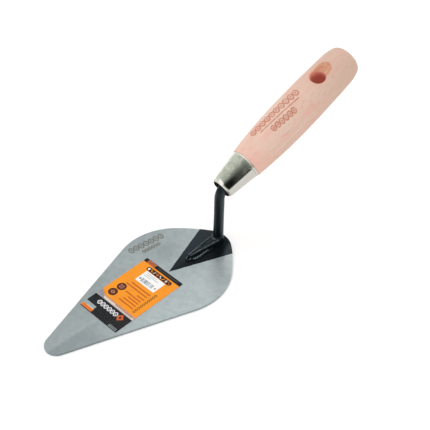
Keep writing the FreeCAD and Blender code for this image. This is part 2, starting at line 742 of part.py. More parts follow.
def make_handle():
    grip = new_body("Grip")
    turned = turn_grip(grip)
    bored = bore_grip(grip)
    check_cut(bored, turned)
    drilled = drill_grip(grip)
    check_cut(drilled, bored)
    handle = build(boolean("Cut", "Handle", grip, make_scoop(), "handle"))
    check_cut(handle, drilled)
    lay(handle)
    return handle


# ----------------------------------------------------------------------------
# paper label on the blade, and a small printed sticker over it
# ----------------------------------------------------------------------------
def make_paper(name, label, prefix, height):
    """Rounded rectangle of paper; prefix picks its dimensions in the sheet."""
    length, width, corner = prefix + "_length", prefix + "_width", prefix + "_corner"
    radius = size[corner]
    centre_x = size[width] / 2 - radius
    centre_y = size[length] / 2 - radius
    # corners counter-clockwise from +X -Y, and the way out at each arc's start
    centres = [at(centre_x, -centre_y), at(centre_x, centre_y),
               at(-centre_x, centre_y), at(-centre_x, -centre_y)]
    outward = [at(0, -radius), at(radius, 0), at(0, radius), at(-radius, 0)]
    segments = []
    for i, centre in enumerate(centres):
        first = centre + outward[i]
        last = centre + outward[(i + 1) % 4]
        segments.append(Line(centres[i - 1] + outward[i], first))
        segments.append(arc(centre, radius, first, last))

    body = new_body(name, label)
    sketch = sketch_on(body, "XY_Plane", name + "Outline")
    bottom, arc_a, right, arc_c, top, arc_b, left, _ = closed(sketch, segments, "Tangent")
    for kind, side in (("Horizontal", bottom), ("Horizontal", top),
                       ("Vertical", right), ("Vertical", left)):
        sketch.addConstraint(Constraint(kind, side))
    sketch.addConstraint(Constraint("Symmetric", arc_a, CENTRE, arc_b, CENTRE, *ORIGIN))
    dim(sketch, "Radius", "corner_a", corner, arc_a)
    dim(sketch, "Radius", "corner_b", corner, arc_b)
    dim(sketch, "Radius", "corner_c", corner, arc_c)
    dim(sketch, "DistanceX", "across", width, left, START, right, START)
    dim(sketch, "DistanceY", "along", length, bottom, START, top, END)
    pad(body, sketch, name + "Pad", prefix + "_thick")
    place(body, Rotation(Z_AXIS, size["label_turn"]),
          x=prefix + "_shift", y="-" + prefix + "_station", z=height)
    return body


# ----------------------------------------------------------------------------
# build, check and write
# ----------------------------------------------------------------------------
blade = make_blade()
tang = make_tang()
weld = make_weld(tang)
coat = make_coat(tang, weld)
ferrule = make_ferrule()
handle = make_handle()
label = make_paper("BladeLabel", "blade_label", "label", "blade_thick")
sticker = make_paper("PrintedSticker", "printed_sticker", "sticker",
                     "blade_thick + label_thick")
doc.recompute()

for obj in doc.Objects:
    check(obj)
nodes = [blade, coat, tang, weld, ferrule, handle, label, sticker]
for node in nodes:
    shape = node.Shape
    if shape.isNull() or not shape.isValid() or shape.Volume <= 0:
        raise RuntimeError("bad shape: " + node.Label)
os.makedirs("parts", exist_ok=True)
for node in nodes:
    node.Shape.exportStep("parts/%s.step" % node.Label)
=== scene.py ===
"""Brick trowel: visual model built round the CAD pieces.

Origin on the underside of the blade below the shank, -Y towards the blade's tip,
+Z up, +X to one side.  Modelling is in millimetres, turned into metres when a mesh
is made.  The handle has a frame of its own: station along its axis towards the
butt, across (+X), and up.
"""

import json
import math

import bpy
import numpy as np
from mathutils import Matrix, Vector
from mathutils.geometry import delaunay_2d_cdt


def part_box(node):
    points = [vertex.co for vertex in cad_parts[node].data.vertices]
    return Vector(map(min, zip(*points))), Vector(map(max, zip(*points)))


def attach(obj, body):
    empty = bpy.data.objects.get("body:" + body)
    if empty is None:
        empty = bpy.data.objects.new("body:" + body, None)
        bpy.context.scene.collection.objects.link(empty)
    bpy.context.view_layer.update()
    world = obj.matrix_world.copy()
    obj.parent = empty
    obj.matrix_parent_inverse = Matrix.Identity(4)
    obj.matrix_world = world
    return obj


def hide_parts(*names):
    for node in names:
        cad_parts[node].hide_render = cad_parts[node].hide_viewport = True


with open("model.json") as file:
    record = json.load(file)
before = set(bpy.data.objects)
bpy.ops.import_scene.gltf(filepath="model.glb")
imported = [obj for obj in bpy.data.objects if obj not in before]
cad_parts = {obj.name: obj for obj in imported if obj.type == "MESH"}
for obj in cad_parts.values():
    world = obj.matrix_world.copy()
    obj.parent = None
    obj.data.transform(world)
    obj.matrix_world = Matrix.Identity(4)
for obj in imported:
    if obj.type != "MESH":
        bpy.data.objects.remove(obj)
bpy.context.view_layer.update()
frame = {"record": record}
scene = bpy.context.scene
MM = 0.001                     # metres in a millimetre

# ----------------------------------------------------------------------------
# places taken from the CAD pieces
# ----------------------------------------------------------------------------
HOLE_STATION = 88.1
hole = next(m for m in frame["record"]["mounts"] if m["name"] == "hanging_hole")
HOLE_R = hole["dims"]["r_mm"]
bore_axis = np.array(hole["axis"], float)
bore_axis /= np.linalg.norm(bore_axis)
HOLE_TURN = math.asin(bore_axis[0])           # turn of the hole about the handle axis
HANDLE_UP = np.array([0.0, bore_axis[1], bore_axis[2]])
HANDLE_UP /= np.linalg.norm(HANDLE_UP)
HANDLE_AXIS = np.array([0.0, HANDLE_UP[2], -HANDLE_UP[1]])
ACROSS = np.array([1.0, 0.0, 0.0])
HANDLE_ORIGIN = np.array(hole["pos_m"], float) / MM - HOLE_STATION * HANDLE_AXIS


def node_box(name):
    low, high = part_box(name)
    return np.array(low) / MM, np.array(high) / MM


blade_low, blade_high = node_box("blade")
BLADE_TOP = blade_high[2]
HEEL_Y, TIP_Y = blade_high[1], blade_low[1]


def handle_point(station, across, up):
    """Model coordinates of places given in the handle's frame."""
    return (HANDLE_ORIGIN + np.multiply.outer(station, HANDLE_AXIS)
            + np.multiply.outer(across, ACROSS) + np.multiply.outer(up, HANDLE_UP))


# ----------------------------------------------------------------------------
# mesh helpers
# ----------------------------------------------------------------------------
def mesh_object(name, verts, faces, smooth=True):
    mesh = bpy.data.meshes.new(name)
    mesh.from_pydata((np.asarray(verts, float) * MM).tolist(), [],
                     [list(map(int, face)) for face in faces])
    mesh.validate()
    mesh.update()
    if smooth:
        mesh.shade_smooth()
    obj = bpy.data.objects.new(name, mesh)
    scene.collection.objects.link(obj)
    return obj


def point_attribute(obj, name, values):
    attribute = obj.data.attributes.new(name, "FLOAT", "POINT")
    attribute.data.foreach_set("value", np.asarray(values, np.float32))


def fit(obj, material, replaces):
    """Give a piece its material, hide the CAD piece it replaces and hang it under the root body.
    """
    obj.data.materials.append(material)
    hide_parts(replaces)
    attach(obj, "root")


def surface_nets(field, low, high, cell):
    """Quad mesh of field = 0 in the box low..high; the field is negative inside."""
    pull_steps = 4             # moves of the vertices onto the surface
    probe = 0.01               # offset for the slope of the field
    low = np.asarray(low, float)
    count = np.ceil((np.asarray(high, float) - low) / cell).astype(int) + 1
    ticks = [low[k] + cell * np.arange(count[k]) for k in range(3)]
    value = np.empty(tuple(count))
    yy, zz = np.meshgrid(ticks[1], ticks[2], indexing="ij")
    slab = np.stack([np.zeros(yy.size), yy.ravel(), zz.ravel()], 1)
    for i, x in enumerate(ticks[0]):
        slab[:, 0] = x
        value[i] = field(slab).reshape(count[1], count[2])

    cell_ids, crossings, quads = [], [], []
    for axis in range(3):
        first, second = [slice(None)] * 3, [slice(None)] * 3
        first[axis], second[axis] = slice(0, -1), slice(1, None)
        here, there = value[tuple(first)], value[tuple(second)]
        index = np.argwhere((here < 0) != (there < 0))
        side1, side2 = [k for k in range(3) if k != axis]
        index = index[(index[:, side1] > 0) & (index[:, side1] < count[side1] - 1)
                      & (index[:, side2] > 0) & (index[:, side2] < count[side2] - 1)]
        here, there = here[tuple(index.T)], there[tuple(index.T)]
        crossing = low + cell * index.astype(float)
        crossing[:, axis] += cell * here / (here - there)
        ring = []
        for move1, move2 in ((-1, -1), (0, -1), (0, 0), (-1, 0)):
            around = index.copy()
            around[:, side1] += move1
            around[:, side2] += move2
            ring.append(np.ravel_multi_index(tuple(around.T), tuple(count - 1)))
            cell_ids.append(ring[-1])
            crossings.append(crossing)
        quad = np.stack(ring, 1)
        turned = (here >= 0) ^ (axis == 1)
        quad[turned] = quad[turned][:, ::-1]
        quads.append(quad)

    used, inverse = np.unique(np.concatenate(cell_ids), return_inverse=True)
    crossings = np.concatenate(crossings)
    total = np.bincount(inverse)
    verts = np.stack([np.bincount(inverse, weights=crossings[:, k]) / total
                      for k in range(3)], 1)
    faces = np.searchsorted(used, np.concatenate(quads))
    for _ in range(pull_steps):
        level = field(verts)
        slope = np.empty_like(verts)
        for k in range(3):
            shift = np.zeros(3)
            shift[k] = probe
            slope[:, k] = (field(verts + shift) - field(verts - shift)) / (2 * probe)
        move = (level / np.maximum((slope ** 2).sum(1), 0.05))[:, None] * slope
        length = np.linalg.norm(move, axis=1)
        move *= np.minimum(1.0, 0.4 * cell / np.maximum(length, 1e-9))[:, None]
        verts = verts - move
    return verts, faces


def smooth_min(a, b, reach):
    overlap = np.maximum(reach - np.abs(a - b), 0.0) / reach
    return np.minimum(a, b) - overlap * overlap * reach * 0.25


def smooth_max(a, b, reach):
    return -smooth_min(-a, -b, reach)


def bell(offset, width, power=2):
    return np.exp(-(offset / width) ** power)


def ramp(x, start, length):
    """0 at start, 1 at start + length (which may be negative), held beyond."""
    return np.clip((x - start) / length, 0, 1)


def sigmoid(x):
    return 1 / (1 + np.exp(-x))


def ripple(x, seed, terms, rate):
    """Smooth repeatable waviness, about -1 to 1."""
    rng = np.random.RandomState(seed)
    y = np.zeros_like(np.asarray(x, float))
    for k in range(terms):
        y += (np.sin(rate * x * rng.uniform(0.6, 1.9) * (1 + 0.8 * k) + rng.uniform(0, 6.28))
              / (1 + 0.7 * k))
    return y / 1.8


def rounded_outline(points, radii, step):
    """Closed outline with its corners rounded; straight runs are divided."""
    points = np.array(points, float)
    count = len(points)
    corners = []
    for i, (corner, radius) in enumerate(zip(points, radii)):
        back, ahead = points[i - 1] - corner, points[(i + 1) % count] - corner
        back_len, ahead_len = np.linalg.norm(back), np.linalg.norm(ahead)
        back, ahead = back / back_len, ahead / ahead_len
        half_angle = math.acos(max(-1.0, min(1.0, float(back @ ahead)))) / 2
        trim = min(radius / math.tan(half_angle), 0.49 * back_len, 0.49 * ahead_len)
        radius = trim * math.tan(half_angle)
        bisector = (back + ahead) / np.linalg.norm(back + ahead)
        centre = corner + bisector * (radius / math.sin(half_angle))
        start = math.atan2(*(corner + back * trim - centre)[::-1])
        end = math.atan2(*(corner + ahead * trim - centre)[::-1])
        sweep = (end - start + math.pi) % (2 * math.pi) - math.pi
        parts = min(max(3, int(abs(sweep) * radius / 0.18)), 12)
        angles = [start + sweep * k / parts for k in range(parts + 1)]
        corners.append([centre + radius * np.array([math.cos(a), math.sin(a)])
                        for a in angles])
    outline = []
    for i in range(count):
        outline += corners[i]
        a, b = corners[i][-1], corners[(i + 1) % count][0]
        parts = int(np.linalg.norm(b - a) / step)
        outline += [a + (b - a) * k / parts for k in range(1, parts)]
    return np.array(outline)


class OutlineDistance:
    """Signed distance to a closed outline, tabulated and read bilinearly."""

    def __init__(self, outline, low, high, step):
        self.low, self.step = np.array(low, float), step
        nx, ny = [int(math.ceil((high[k] - low[k]) / step)) + 1 for k in range(2)]
        grid_y = (low[1] + step * np.arange(ny))[:, None]
        a = outline
        b = np.roll(outline, -1, 0)
        edge = b - a
        length2 = np.maximum((edge ** 2).sum(1), 1e-12)
        self.table = np.empty((nx, ny))
        for i, x in enumerate(low[0] + step * np.arange(nx)):
            px = x - a[None, :, 0]
            py = grid_y - a[None, :, 1]
            k = np.clip((px * edge[:, 0] + py * edge[:, 1]) / length2, 0, 1)
            far = np.sqrt(((px - k * edge[:, 0]) ** 2 + (py - k * edge[:, 1]) ** 2).min(1))
            crosses = (a[None, :, 1] > grid_y) != (b[None, :, 1] > grid_y)
            # level edges divide by zero here, but they never cross
            with np.errstate(divide="ignore", invalid="ignore"):
                cross_x = a[None, :, 0] + py * edge[:, 0] / edge[:, 1]
            inside = (crosses & (x < cross_x)).sum(1) % 2 == 1
            self.table[i] = np.where(inside, -far, far)

    def __call__(self, x, y):
        table = self.table
        fx = (x - self.low[0]) / self.step
        fy = (y - self.low[1]) / self.step
        ix = np.clip(np.floor(fx).astype(int), 0, table.shape[0] - 2)
        iy = np.clip(np.floor(fy).astype(int), 0, table.shape[1] - 2)
        u, w = fx - ix, fy - iy
        return ((table[ix, iy] * (1 - u) + table[ix + 1, iy] * u) * (1 - w)
                + (table[ix, iy + 1] * (1 - u) + table[ix + 1, iy + 1] * u) * w)


# ----------------------------------------------------------------------------
# shader helpers
# ----------------------------------------------------------------------------
def srgb(*channels):
    """Linear RGBA of an 8-bit sRGB colour."""
    def linear(c):
        c /= 255.0
        return c / 12.92 if c <= 0.04045 else ((c + 0.055) / 1.055) ** 2.4
    return (*map(linear, channels), 1.0)


class Signal:
    """Output socket that makes maths nodes when used in arithmetic."""

    def __init__(self, tree, socket):
        self.tree, self.socket = tree, socket

    def __add__(self, other):
        return self.tree.math("ADD", self, other)

    def __radd__(self, other):
        return self.tree.math("ADD", other, self)

    def __sub__(self, other):
        return self.tree.math("SUBTRACT", self, other)

    def __rsub__(self, other):
        return self.tree.math("SUBTRACT", other, self)

    def __mul__(self, other):
        return self.tree.math("MULTIPLY", self, other)

    def __truediv__(self, other):
        return self.tree.math("DIVIDE", self, other)

    def __abs__(self):
        return self.tree.math("ABSOLUTE", self)


class Tree:
    """Node tree written as expressions."""

    def __init__(self, tree):
        self.tree = tree
        tree.nodes.clear()

    def node(self, kind, inputs=None, **props):
        node = self.tree.nodes.new(kind)
        for key, value in props.items():
            setattr(node, key, value)
        for key, value in (inputs or {}).items():
            if isinstance(value, Signal):
                self.tree.links.new(value.socket, node.inputs[key])
            else:
                node.inputs[key].default_value = value
        return node

    def signal(self, kind, inputs=None, output=0, **props):
        return Signal(self, self.node(kind, inputs, **props).outputs[output])

    def math(self, operation, *operands):
        return self.signal("ShaderNodeMath", dict(enumerate(operands)), operation=operation)

    def vector(self, operation, *operands, output=0):
        return self.signal("ShaderNodeVectorMath", dict(enumerate(operands)), output,
                           operation=operation)

    def dot(self, vector, direction):
        return self.vector("DOT_PRODUCT", vector, tuple(direction), output="Value")

    def scale(self, vector, factor):
        return self.signal("ShaderNodeVectorMath", {0: vector, "Scale": factor},
                           operation="SCALE")

    def stretch(self, vector, rates):
        """Vector times one rate, or a rate per axis."""
        rates = (rates,) * 3 if isinstance(rates, float) else rates
        return self.vector("MULTIPLY", vector, rates)

    def combine(self, x, y, z):
        return self.signal("ShaderNodeCombineXYZ", {0: x, 1: y, 2: z})

    def separate(self, vector):
        outputs = self.node("ShaderNodeSeparateXYZ", {0: vector}).outputs
        return [Signal(self, socket) for socket in outputs]

    def mix(self, factor, a, b):
        return self.signal("ShaderNodeMix", {0: factor, 6: a, 7: b}, 2, data_type="RGBA")

    def blend(self, factor, rgb_a, rgb_b):
        return self.mix(factor, srgb(*rgb_a), srgb(*rgb_b))

    def tint(self, base, mask, rgb):
        return self.mix(mask, base, srgb(*rgb))

    def tints(self, base, table):
        """Tints in turn.  Columns: source, none at, full at, full strength, colour."""
        for source, start, end, most, rgb in table:
            base = self.tint(base, self.step(source, start, end, 0.0, most), rgb)
        return base

    def map_range(self, kind, *values):
        return self.signal("ShaderNodeMapRange", dict(enumerate(values)),
                           interpolation_type=kind)

    def step(self, x, start, end, low=0.0, high=1.0):
        """Smooth step from low at start to high at end."""
        return self.map_range("SMOOTHSTEP", x, start, end, low, high)

    def line(self, x, start, end, low, high):
        """Straight run from low at start to high at end."""
        return self.map_range("LINEAR", x, start, end, low, high)

    def span(self, x, start, end):
        """Mask of start..end with soft ends."""
        soft = 0.15
        return (self.step(x, start - soft, start + soft)
                * self.step(x, end + soft, end - soft))

    def raw_noise(self, vector, detail, rough):
        return self.signal("ShaderNodeTexNoise", {"Vector": vector, "Scale": 1.0,
                                                  "Detail": detail, "Roughness": rough})

    def noise(self, vector, rates, detail=3.0, rough=0.5):
        """Noise of a vector in millimetres; rates are per millimetre."""
        return self.raw_noise(self.stretch(vector, rates), detail, rough)

    def cells(self, vector, rates):
        return self.signal("ShaderNodeTexVoronoi",
                           {"Vector": self.stretch(vector, rates), "Scale": 1.0}, "Distance")

    def bump(self, height, strength, distance, **under):
        return self.signal("ShaderNodeBump", {"Strength": strength, "Distance": distance,
                                              "Height": height, **under})

    def attribute(self, name, output="Fac"):
        return self.signal("ShaderNodeAttribute", None, output, attribute_name=name)


class Material(Tree):
    def __init__(self, name):
        self.material = bpy.data.materials.new(name)
        self.material.use_nodes = True
        super().__init__(self.material.node_tree)
        place = self.signal("ShaderNodeTexCoord", None, "Object")
        self.mm = self.scale(place, 1000.0)   # millimetres in the model's frame

    def handle_space(self):
        """Station, across and up of the handle, and the three as a vector."""
        offset = self.vector("SUBTRACT", self.mm, tuple(HANDLE_ORIGIN))
        parts = [self.dot(offset, axis) for axis in (HANDLE_AXIS, ACROSS, HANDLE_UP)]
        return *parts, self.combine(*parts)

    def oval(self, centre, rates):
        """Distance from a centre on the blade, 1 at the rim of an oval."""
        offset = self.vector("SUBTRACT", self.mm, centre)
        return self.vector("LENGTH", self.stretch(offset, rates), output="Value")

    def finish(self, **inputs):
        surface = self.signal("ShaderNodeBsdfPrincipled",
                              {key.replace("_", " "): value for key, value in inputs.items()})
        self.node("ShaderNodeOutputMaterial", {"Surface": surface})
        return self.material


def plait(m, along, off, pitch, swing, stroke, soft, gem):
    """Mask of a plaited border: two crossing waves with a lozenge in each eye."""
    rate = math.pi / pitch
    phase = along * rate
    wave = m.math("SINE", phase) * swing
    slope = m.math("COSINE", phase) * (swing * rate)
    stretch = m.math("SQRT", 1.0 + slope * slope)
    strands = m.math("MINIMUM", abs(off - wave) / stretch, abs(off + wave) / stretch)
    from_eye = abs(m.math("FLOORED_MODULO", along, pitch) - pitch * 0.5)
    lozenge = from_eye * 1.15 + abs(off) - (swing * gem - stroke)
    return m.step(m.math("MINIMUM", strands, lozenge), stroke + soft, stroke - soft)


# ----------------------------------------------------------------------------
# materials
# ----------------------------------------------------------------------------
def cut_wood(m, loc, wood):
    """Redder end grain where the mesh says the wood is cut: rim, wall, then deep; the pale wall
    and darker deep colour are painted light and shade in the hole.
    """
    cut_and_shade = m.attribute("cut_and_shade")
    fine = m.noise(loc, rates=(1.4, 1.7, 1.0), detail=4.0, rough=0.6)
    coarse = m.noise(loc, rates=(0.26, 0.40, 0.40), detail=3.0, rough=0.6)
    rim = m.tints(m.blend(fine, (216, 162, 134), (200, 142, 110)), (
        (coarse, 0.46, 0.64, 0.6, (202, 128, 100)),
        (coarse, 0.50, 0.34, 0.5, (222, 176, 148))))
    wall = m.blend(fine, (250, 190, 170), (240, 170, 148))
    deep = m.blend(fine, (222, 140, 126), (204, 118, 104))
    for start, end, colour in ((0.03, 0.17, rim), (0.30, 0.40, wall), (0.45, 0.95, deep)):
        wood = m.mix(m.step(cut_and_shade, start, end), wood, colour)
    return wood, cut_and_shade


def branded_border(m, station, across, up, loc):
    """Mask of a wide plait, a rule and a narrow plait, laid slightly askew."""
    wrap_radius = 13.7
    middle = 50.0
    skew_cos, skew_sin = 0.9965, 0.0836
    s = station - middle
    t = m.math("ARCTAN2", across, up) * wrap_radius
    along = s * skew_cos + t * skew_sin
    off = t * skew_cos - s * skew_sin
    wide = plait(m, along, off + 2.8, pitch=4.32, swing=2.35, stroke=0.56, soft=0.20, gem=0.46)
    wide = wide * m.span(along, -21.6, 21.6)
    rule = m.step(abs(off - 1.7), 0.52, 0.32) * m.span(along, -16.5, 18.5)
    narrow = plait(m, along - 0.85, off - 6.0, pitch=3.58, swing=1.9, stroke=0.52, soft=0.2,
                   gem=0.5)
    narrow = narrow * m.span(along, -9.9, 11.6)
    brand = m.math("MAXIMUM", m.math("MAXIMUM", wide, rule), narrow)
    patchy = m.noise(loc, rates=(0.5, 0.9, 0.9), detail=3.0, rough=0.6)
    return brand * m.step(patchy, 0.28, 0.62, low=0.55, high=1.0)


def beech():
    m = Material("beech")
    s, x, v, loc = m.handle_space()
    # growth rings cut lengthways, slightly wandering
    wander = m.noise(loc, rates=(0.012, 0.05, 0.05), detail=2.0)
    ring_place = v * 0.33 + x * 0.14 + wander * 5.0
    rings = m.raw_noise(m.combine(s * 0.004, ring_place, 0.0), detail=3.0, rough=0.6)
    # figure, finer and finer, all drawn out along the grain
    broad = m.noise(loc, rates=(0.022, 0.09, 0.09), detail=3.0, rough=0.55)
    pink = m.noise(loc, rates=(0.05, 0.16, 0.16), detail=4.0, rough=0.6)
    streak = m.noise(loc, rates=(0.045, 0.9, 0.9), detail=4.0, rough=0.6)
    mottle = m.noise(loc, rates=(0.30, 0.75, 0.75), detail=4.0, rough=0.7)
    pores = m.noise(loc, rates=(0.35, 4.2, 4.2), detail=3.0, rough=0.65)
    # ray flecks: short dark dashes along the grain, in patches
    patches = m.noise(loc, rates=(0.11, 0.5, 0.5), detail=2.0)
    dashes = m.cells(loc, rates=(0.42, 2.1, 2.1))
    fleck = m.step(dashes, 0.23, 0.10) * m.step(patches, 0.47, 0.62)
    col = m.tints(srgb(232, 202, 184), (
        (rings, 0.40, 0.66, 1.0, (226, 192, 174)),
        (broad, 0.50, 0.78, 0.34, (204, 164, 144)),
        (pink, 0.42, 0.64, 0.72, (235, 181, 166)),
        (streak, 0.52, 0.80, 0.30, (203, 150, 128)),
        (pores, 0.55, 0.78, 0.22, (190, 138, 116))))
    col = m.tint(col, fleck * 0.34, (184, 126, 104))
    # greyer towards the butt; painted shade down both sides
    col = m.tints(col, ((s, 50.0, 112.0, 0.52, (201, 169, 149)),))
    around = m.math("ARCTAN2", x, v)
    short_of_butt = m.step(s, 121.0, 114.0)
    # columns: angle, none at, full at, full strength, colour
    for angle, start, end, most, rgb in ((around, 0.75, 1.85, 0.50, (196, 158, 138)),
                                         (around * -1.0, 0.45, 0.95, 0.28, (208, 184, 172))):
        side_shade = m.step(angle, start, end, 0.0, most) * m.step(angle, 3.05, 2.1)
        col = m.tint(col, side_shade * short_of_butt, rgb)
    col = m.tints(col, (
        (mottle, 0.48, 0.74, 0.34, (194, 150, 128)),
        (s, 44.0, 16.0, 0.30, (244, 190, 174))))
    col, cut_and_shade = cut_wood(m, loc, col)
    brand = branded_border(m, s, x, v, loc)
    col = m.tint(col, brand * 0.88, (190, 112, 86))
    height = pores * 0.5 + streak * 0.6 - fleck * 0.35 - brand * 1.6
    rough = m.line(pores, 0.3, 0.7, low=0.44, high=0.60) + m.step(cut_and_shade, 0.02, 0.2) * 0.2
    return m.finish(Base_Color=col, Roughness=rough, Specular_IOR_Level=0.38,
                    Normal=m.bump(height, strength=0.35, distance=0.00012))


def nickel():
    m = Material("nickel_plate")
    s, x, v, loc = m.handle_space()
    around = m.math("ARCTAN2", x, v)
    # spun lines round the ferrule, light scuffs along it
    spun = m.raw_noise(m.combine(s * 9.0, around * 1.2, 0.0), detail=3.0, rough=0.6)
    scuff = m.raw_noise(m.combine(s * 0.35, around * 26.0, 3.0), detail=3.0, rough=0.6)
    cloud = m.noise(loc, rates=(0.26, 0.30, 0.30), detail=4.0, rough=0.62)
    stain_and_shade, painted_dark_reflection, painted_glint = [m.attribute(name) for name in ("stain_and_shade", "painted_dark_reflection", "painted_glint")]
    col = m.tints(srgb(202, 211, 192), (
        (cloud, 0.34, 0.66, 1.0, (234, 235, 221)),
        # painted reflection: greyer on the +X side
        (around, 0.95, 1.25, 1.0, (197, 195, 188)),
        (scuff, 0.55, 0.8, 0.35, (190, 191, 178))))
    # brown stain round the mark; painted shade inside the shell and on a line before the bead
    col = m.tint(col, stain_and_shade * 0.75, (84, 62, 42))
    # painted dark reflection down the +X side
    col = m.tint(col, painted_dark_reflection * 0.85, (62, 64, 56))
    # painted highlights, made less metallic below so their colour shows
    col = m.tint(col, painted_glint, (255, 252, 244))
    rough = m.line(s, -8.0, 14.0, low=0.07, high=0.18) + cloud * 0.05 + stain_and_shade * 0.3
    metal = m.line(s + cloud * 6.0, 0.0, 18.0, low=1.0, high=0.84)
    metal = metal * (1.0 - painted_glint * 0.85)
    return m.finish(Base_Color=col, Metallic=metal, Roughness=rough,
                    Normal=m.bump(spun * 0.5 + scuff * 0.6, strength=0.10, distance=0.00003))


def enamel_noise(m):
    fine = m.noise(m.mm, rates=4.5, detail=2.0)
    cloud = m.noise(m.mm, rates=0.10, detail=3.0, rough=0.55)
    return fine, cloud


def finish_enamel(m, col, specular, fine, cloud, added_rough):
    """Glossy black paint with a slight orange-peel surface."""
    peel = m.noise(m.mm, rates=0.9, detail=3.0, rough=0.55)
    rough = m.line(cloud, 0.3, 0.7, low=0.20, high=0.30) + added_rough
    return m.finish(Base_Color=col, Roughness=rough, Specular_IOR_Level=specular,
                    Specular_Tint=(0.78, 0.97, 1.0, 1.0),
                    Normal=m.bump(peel + fine * 0.25, strength=0.22, distance=0.00008))


def tang_enamel():
    """Glossy black paint with painted highlights along arrises and over the ripples of the weld,
    and painted reflections on the shank.
    """
    m = Material("black_enamel")
    fine, cloud = enamel_noise(m)
    speck = m.step(m.cells(m.mm, rates=0.8), 0.10, 0.04)
    col = m.blend(cloud, (9, 14, 18), (17, 25, 30))
    col = m.tint(col, speck * 0.30, (62, 70, 74))
    # painted highlights and reflections, stored on the mesh
    col = m.tint(col, m.attribute("painted_highlight") * 0.85, (138, 152, 158))
    return finish_enamel(m, col, 0.24, fine, cloud, added_rough=0.0)


def blade_enamel():
    """Black paint with painted shade on the +X side and towards the apex, and painted light on
    the -X side and at the heel.
    """
    specular = 0.22
    m = Material("black_enamel_blade")
    fine, cloud = enamel_noise(m)
    x, y, z = m.separate(m.mm)
    # painted shade by the foot on the +X side, painted light at the heel
    near = m.step(x + (y + 44.0) * -0.02, -1.5, 1.5)
    heel = m.step(x + y * 0.55, 6.5, 11.0) * 0.75
    apex = m.step(y, -24.0, -38.0, low=0.0, high=0.6)
    painted_shade = near * (1.0 - m.math("MAXIMUM", heel, apex)) * 0.85
    grain = m.step(fine, 0.35, 0.65)
    lit_paint = m.blend(grain, (29, 35, 42), (43, 51, 57))
    lit_paint = m.tint(lit_paint, near * heel * grain, (86, 92, 97))
    lit_paint = m.tints(lit_paint, ((y, -24.0, -33.0, 0.62, (14, 21, 26)),))
    col = m.tint(lit_paint, painted_shade, (7, 10, 12))
    return finish_enamel(m, col, specular - painted_shade * (specular * 0.65), fine, cloud,
                         added_rough=0.04)


def painted_reflection_tone(m, x, y):
    """Painted reflection: the steel darker on the -X half and towards the tip, lighter and
    darker in patches.
    """
    tone = 1.03 + x * 0.0060 + (y + 60.0) * 0.0016
    bright = m.oval((20.0, -10.0, 1.2), (0.05, 0.06, 0.0))
    tone = tone + m.step(bright, 1.0, 0.1, low=0.0, high=0.19)
    dim = m.oval((-15.0, -33.0, 1.2), (0.08, 0.06, 0.0))
    tone = tone - m.step(dim, 1.0, 0.1, low=0.0, high=0.15)
    rim = m.oval((-30.0, -64.0, 1.2), (0.07, 0.034, 0.0))
    tone = tone + m.step(rim, 1.0, 0.2, low=0.0, high=0.07)
    return m.math("MAXIMUM", m.math("MINIMUM", tone, 1.36), 0.7)


def etched_border(m):
    """Mask of a wide and a narrow plait near the -X edge."""
    def border_axes(middle, direction):
        offset = m.vector("SUBTRACT", m.mm, middle)
        dx, dy = direction
        return m.dot(offset, (dx, dy, 0.0)), m.dot(offset, (dy, -dx, 0.0))

    pitch = 3.94
    along, off = border_axes((-30.5, -38.2, 0.0), (0.115, 0.9934))
    wide = plait(m, along + pitch / 2, off, pitch, swing=2.15, stroke=0.50, soft=0.22,
                 gem=0.46)
    wide = wide * m.span(along, -13.8, 13.8)
    along, off = border_axes((-25.0, -38.2, 0.0), (0.076, 0.997))
    narrow = plait(m, along, off, pitch=2.4, swing=1.15, stroke=0.42, soft=0.2, gem=0.5)
    narrow = narrow * m.span(along, -7.2, 7.2)
    return m.math("MAXIMUM", wide, narrow)


def steel():
    m = Material("brushed_steel")
    x, y, z = m.separate(m.mm)
    # fine grinding lines across the blade, and long faint ones
    lines = m.raw_noise(m.combine(x * 0.10, y * 5.5, 0.0), detail=4.0, rough=0.65)
    faint = m.raw_noise(m.combine(x * 0.03, y * 1.1, 4.0), detail=3.0, rough=0.55)
    mottle = m.noise(m.mm, rates=0.30, detail=4.0, rough=0.62)
    broad = m.noise(m.mm, rates=0.022, detail=2.0)
    col = m.tints(srgb(188, 200, 202), (
        (mottle, 0.28, 0.72, 1.0, (205, 215, 216)),
        (lines, 0.50, 0.74, 0.42, (168, 182, 186)),
        (broad, 0.42, 0.70, 0.22, (178, 191, 195))))
    col = m.scale(col, painted_reflection_tone(m, x, y))
    # tip: painted shade on the +X side, painted light on the -X side, soft line between them
    tip_midline = x + (y + 144.0) * -0.02
    in_tip = m.step(y, -100.0, -118.0)
    col = m.tint(col, m.step(tip_midline, -0.6, 2.6) * in_tip * 0.42, (146, 159, 163))
    col = m.tint(col, m.step(tip_midline, 1.0, -2.0) * in_tip * 0.14, (214, 224, 225))
    # painted reflection: brighter streaky patch on the +X side of the paint
    patch = m.oval((24.0, -26.0, 1.2), (0.052, 0.036, 0.0))
    streaky = 0.45 + m.step(faint, 0.35, 0.62) * 0.55
    col = m.tint(col, m.step(patch, 1.0, 0.15) * streaky * 0.34, (236, 246, 248))
    # etching on the top face only, unevenly bitten
    etch = etched_border(m) * m.step(z, 1.0, 1.15)
    etch = etch * m.step(mottle, 0.25, 0.6, low=0.55, high=1.0)
    col = m.tint(col, etch * 0.72, (126, 120, 104))
    # painted shade on the edge and the sides
    col = m.tint(col, m.step(z, 1.12, 0.98) * 0.7, (116, 124, 128))
    rough = 0.33 + mottle * 0.10 + etch * 0.22
    height = lines * 0.8 + mottle * 0.25 - etch * 0.5
    waves = m.bump(m.noise(m.mm, rates=0.035, detail=2.0), strength=0.25, distance=0.0008)
    return m.finish(Base_Color=col, Metallic=0.94, Roughness=rough, Anisotropic=0.3,
                    Normal=m.bump(height, strength=0.16, distance=0.00004, Normal=waves))


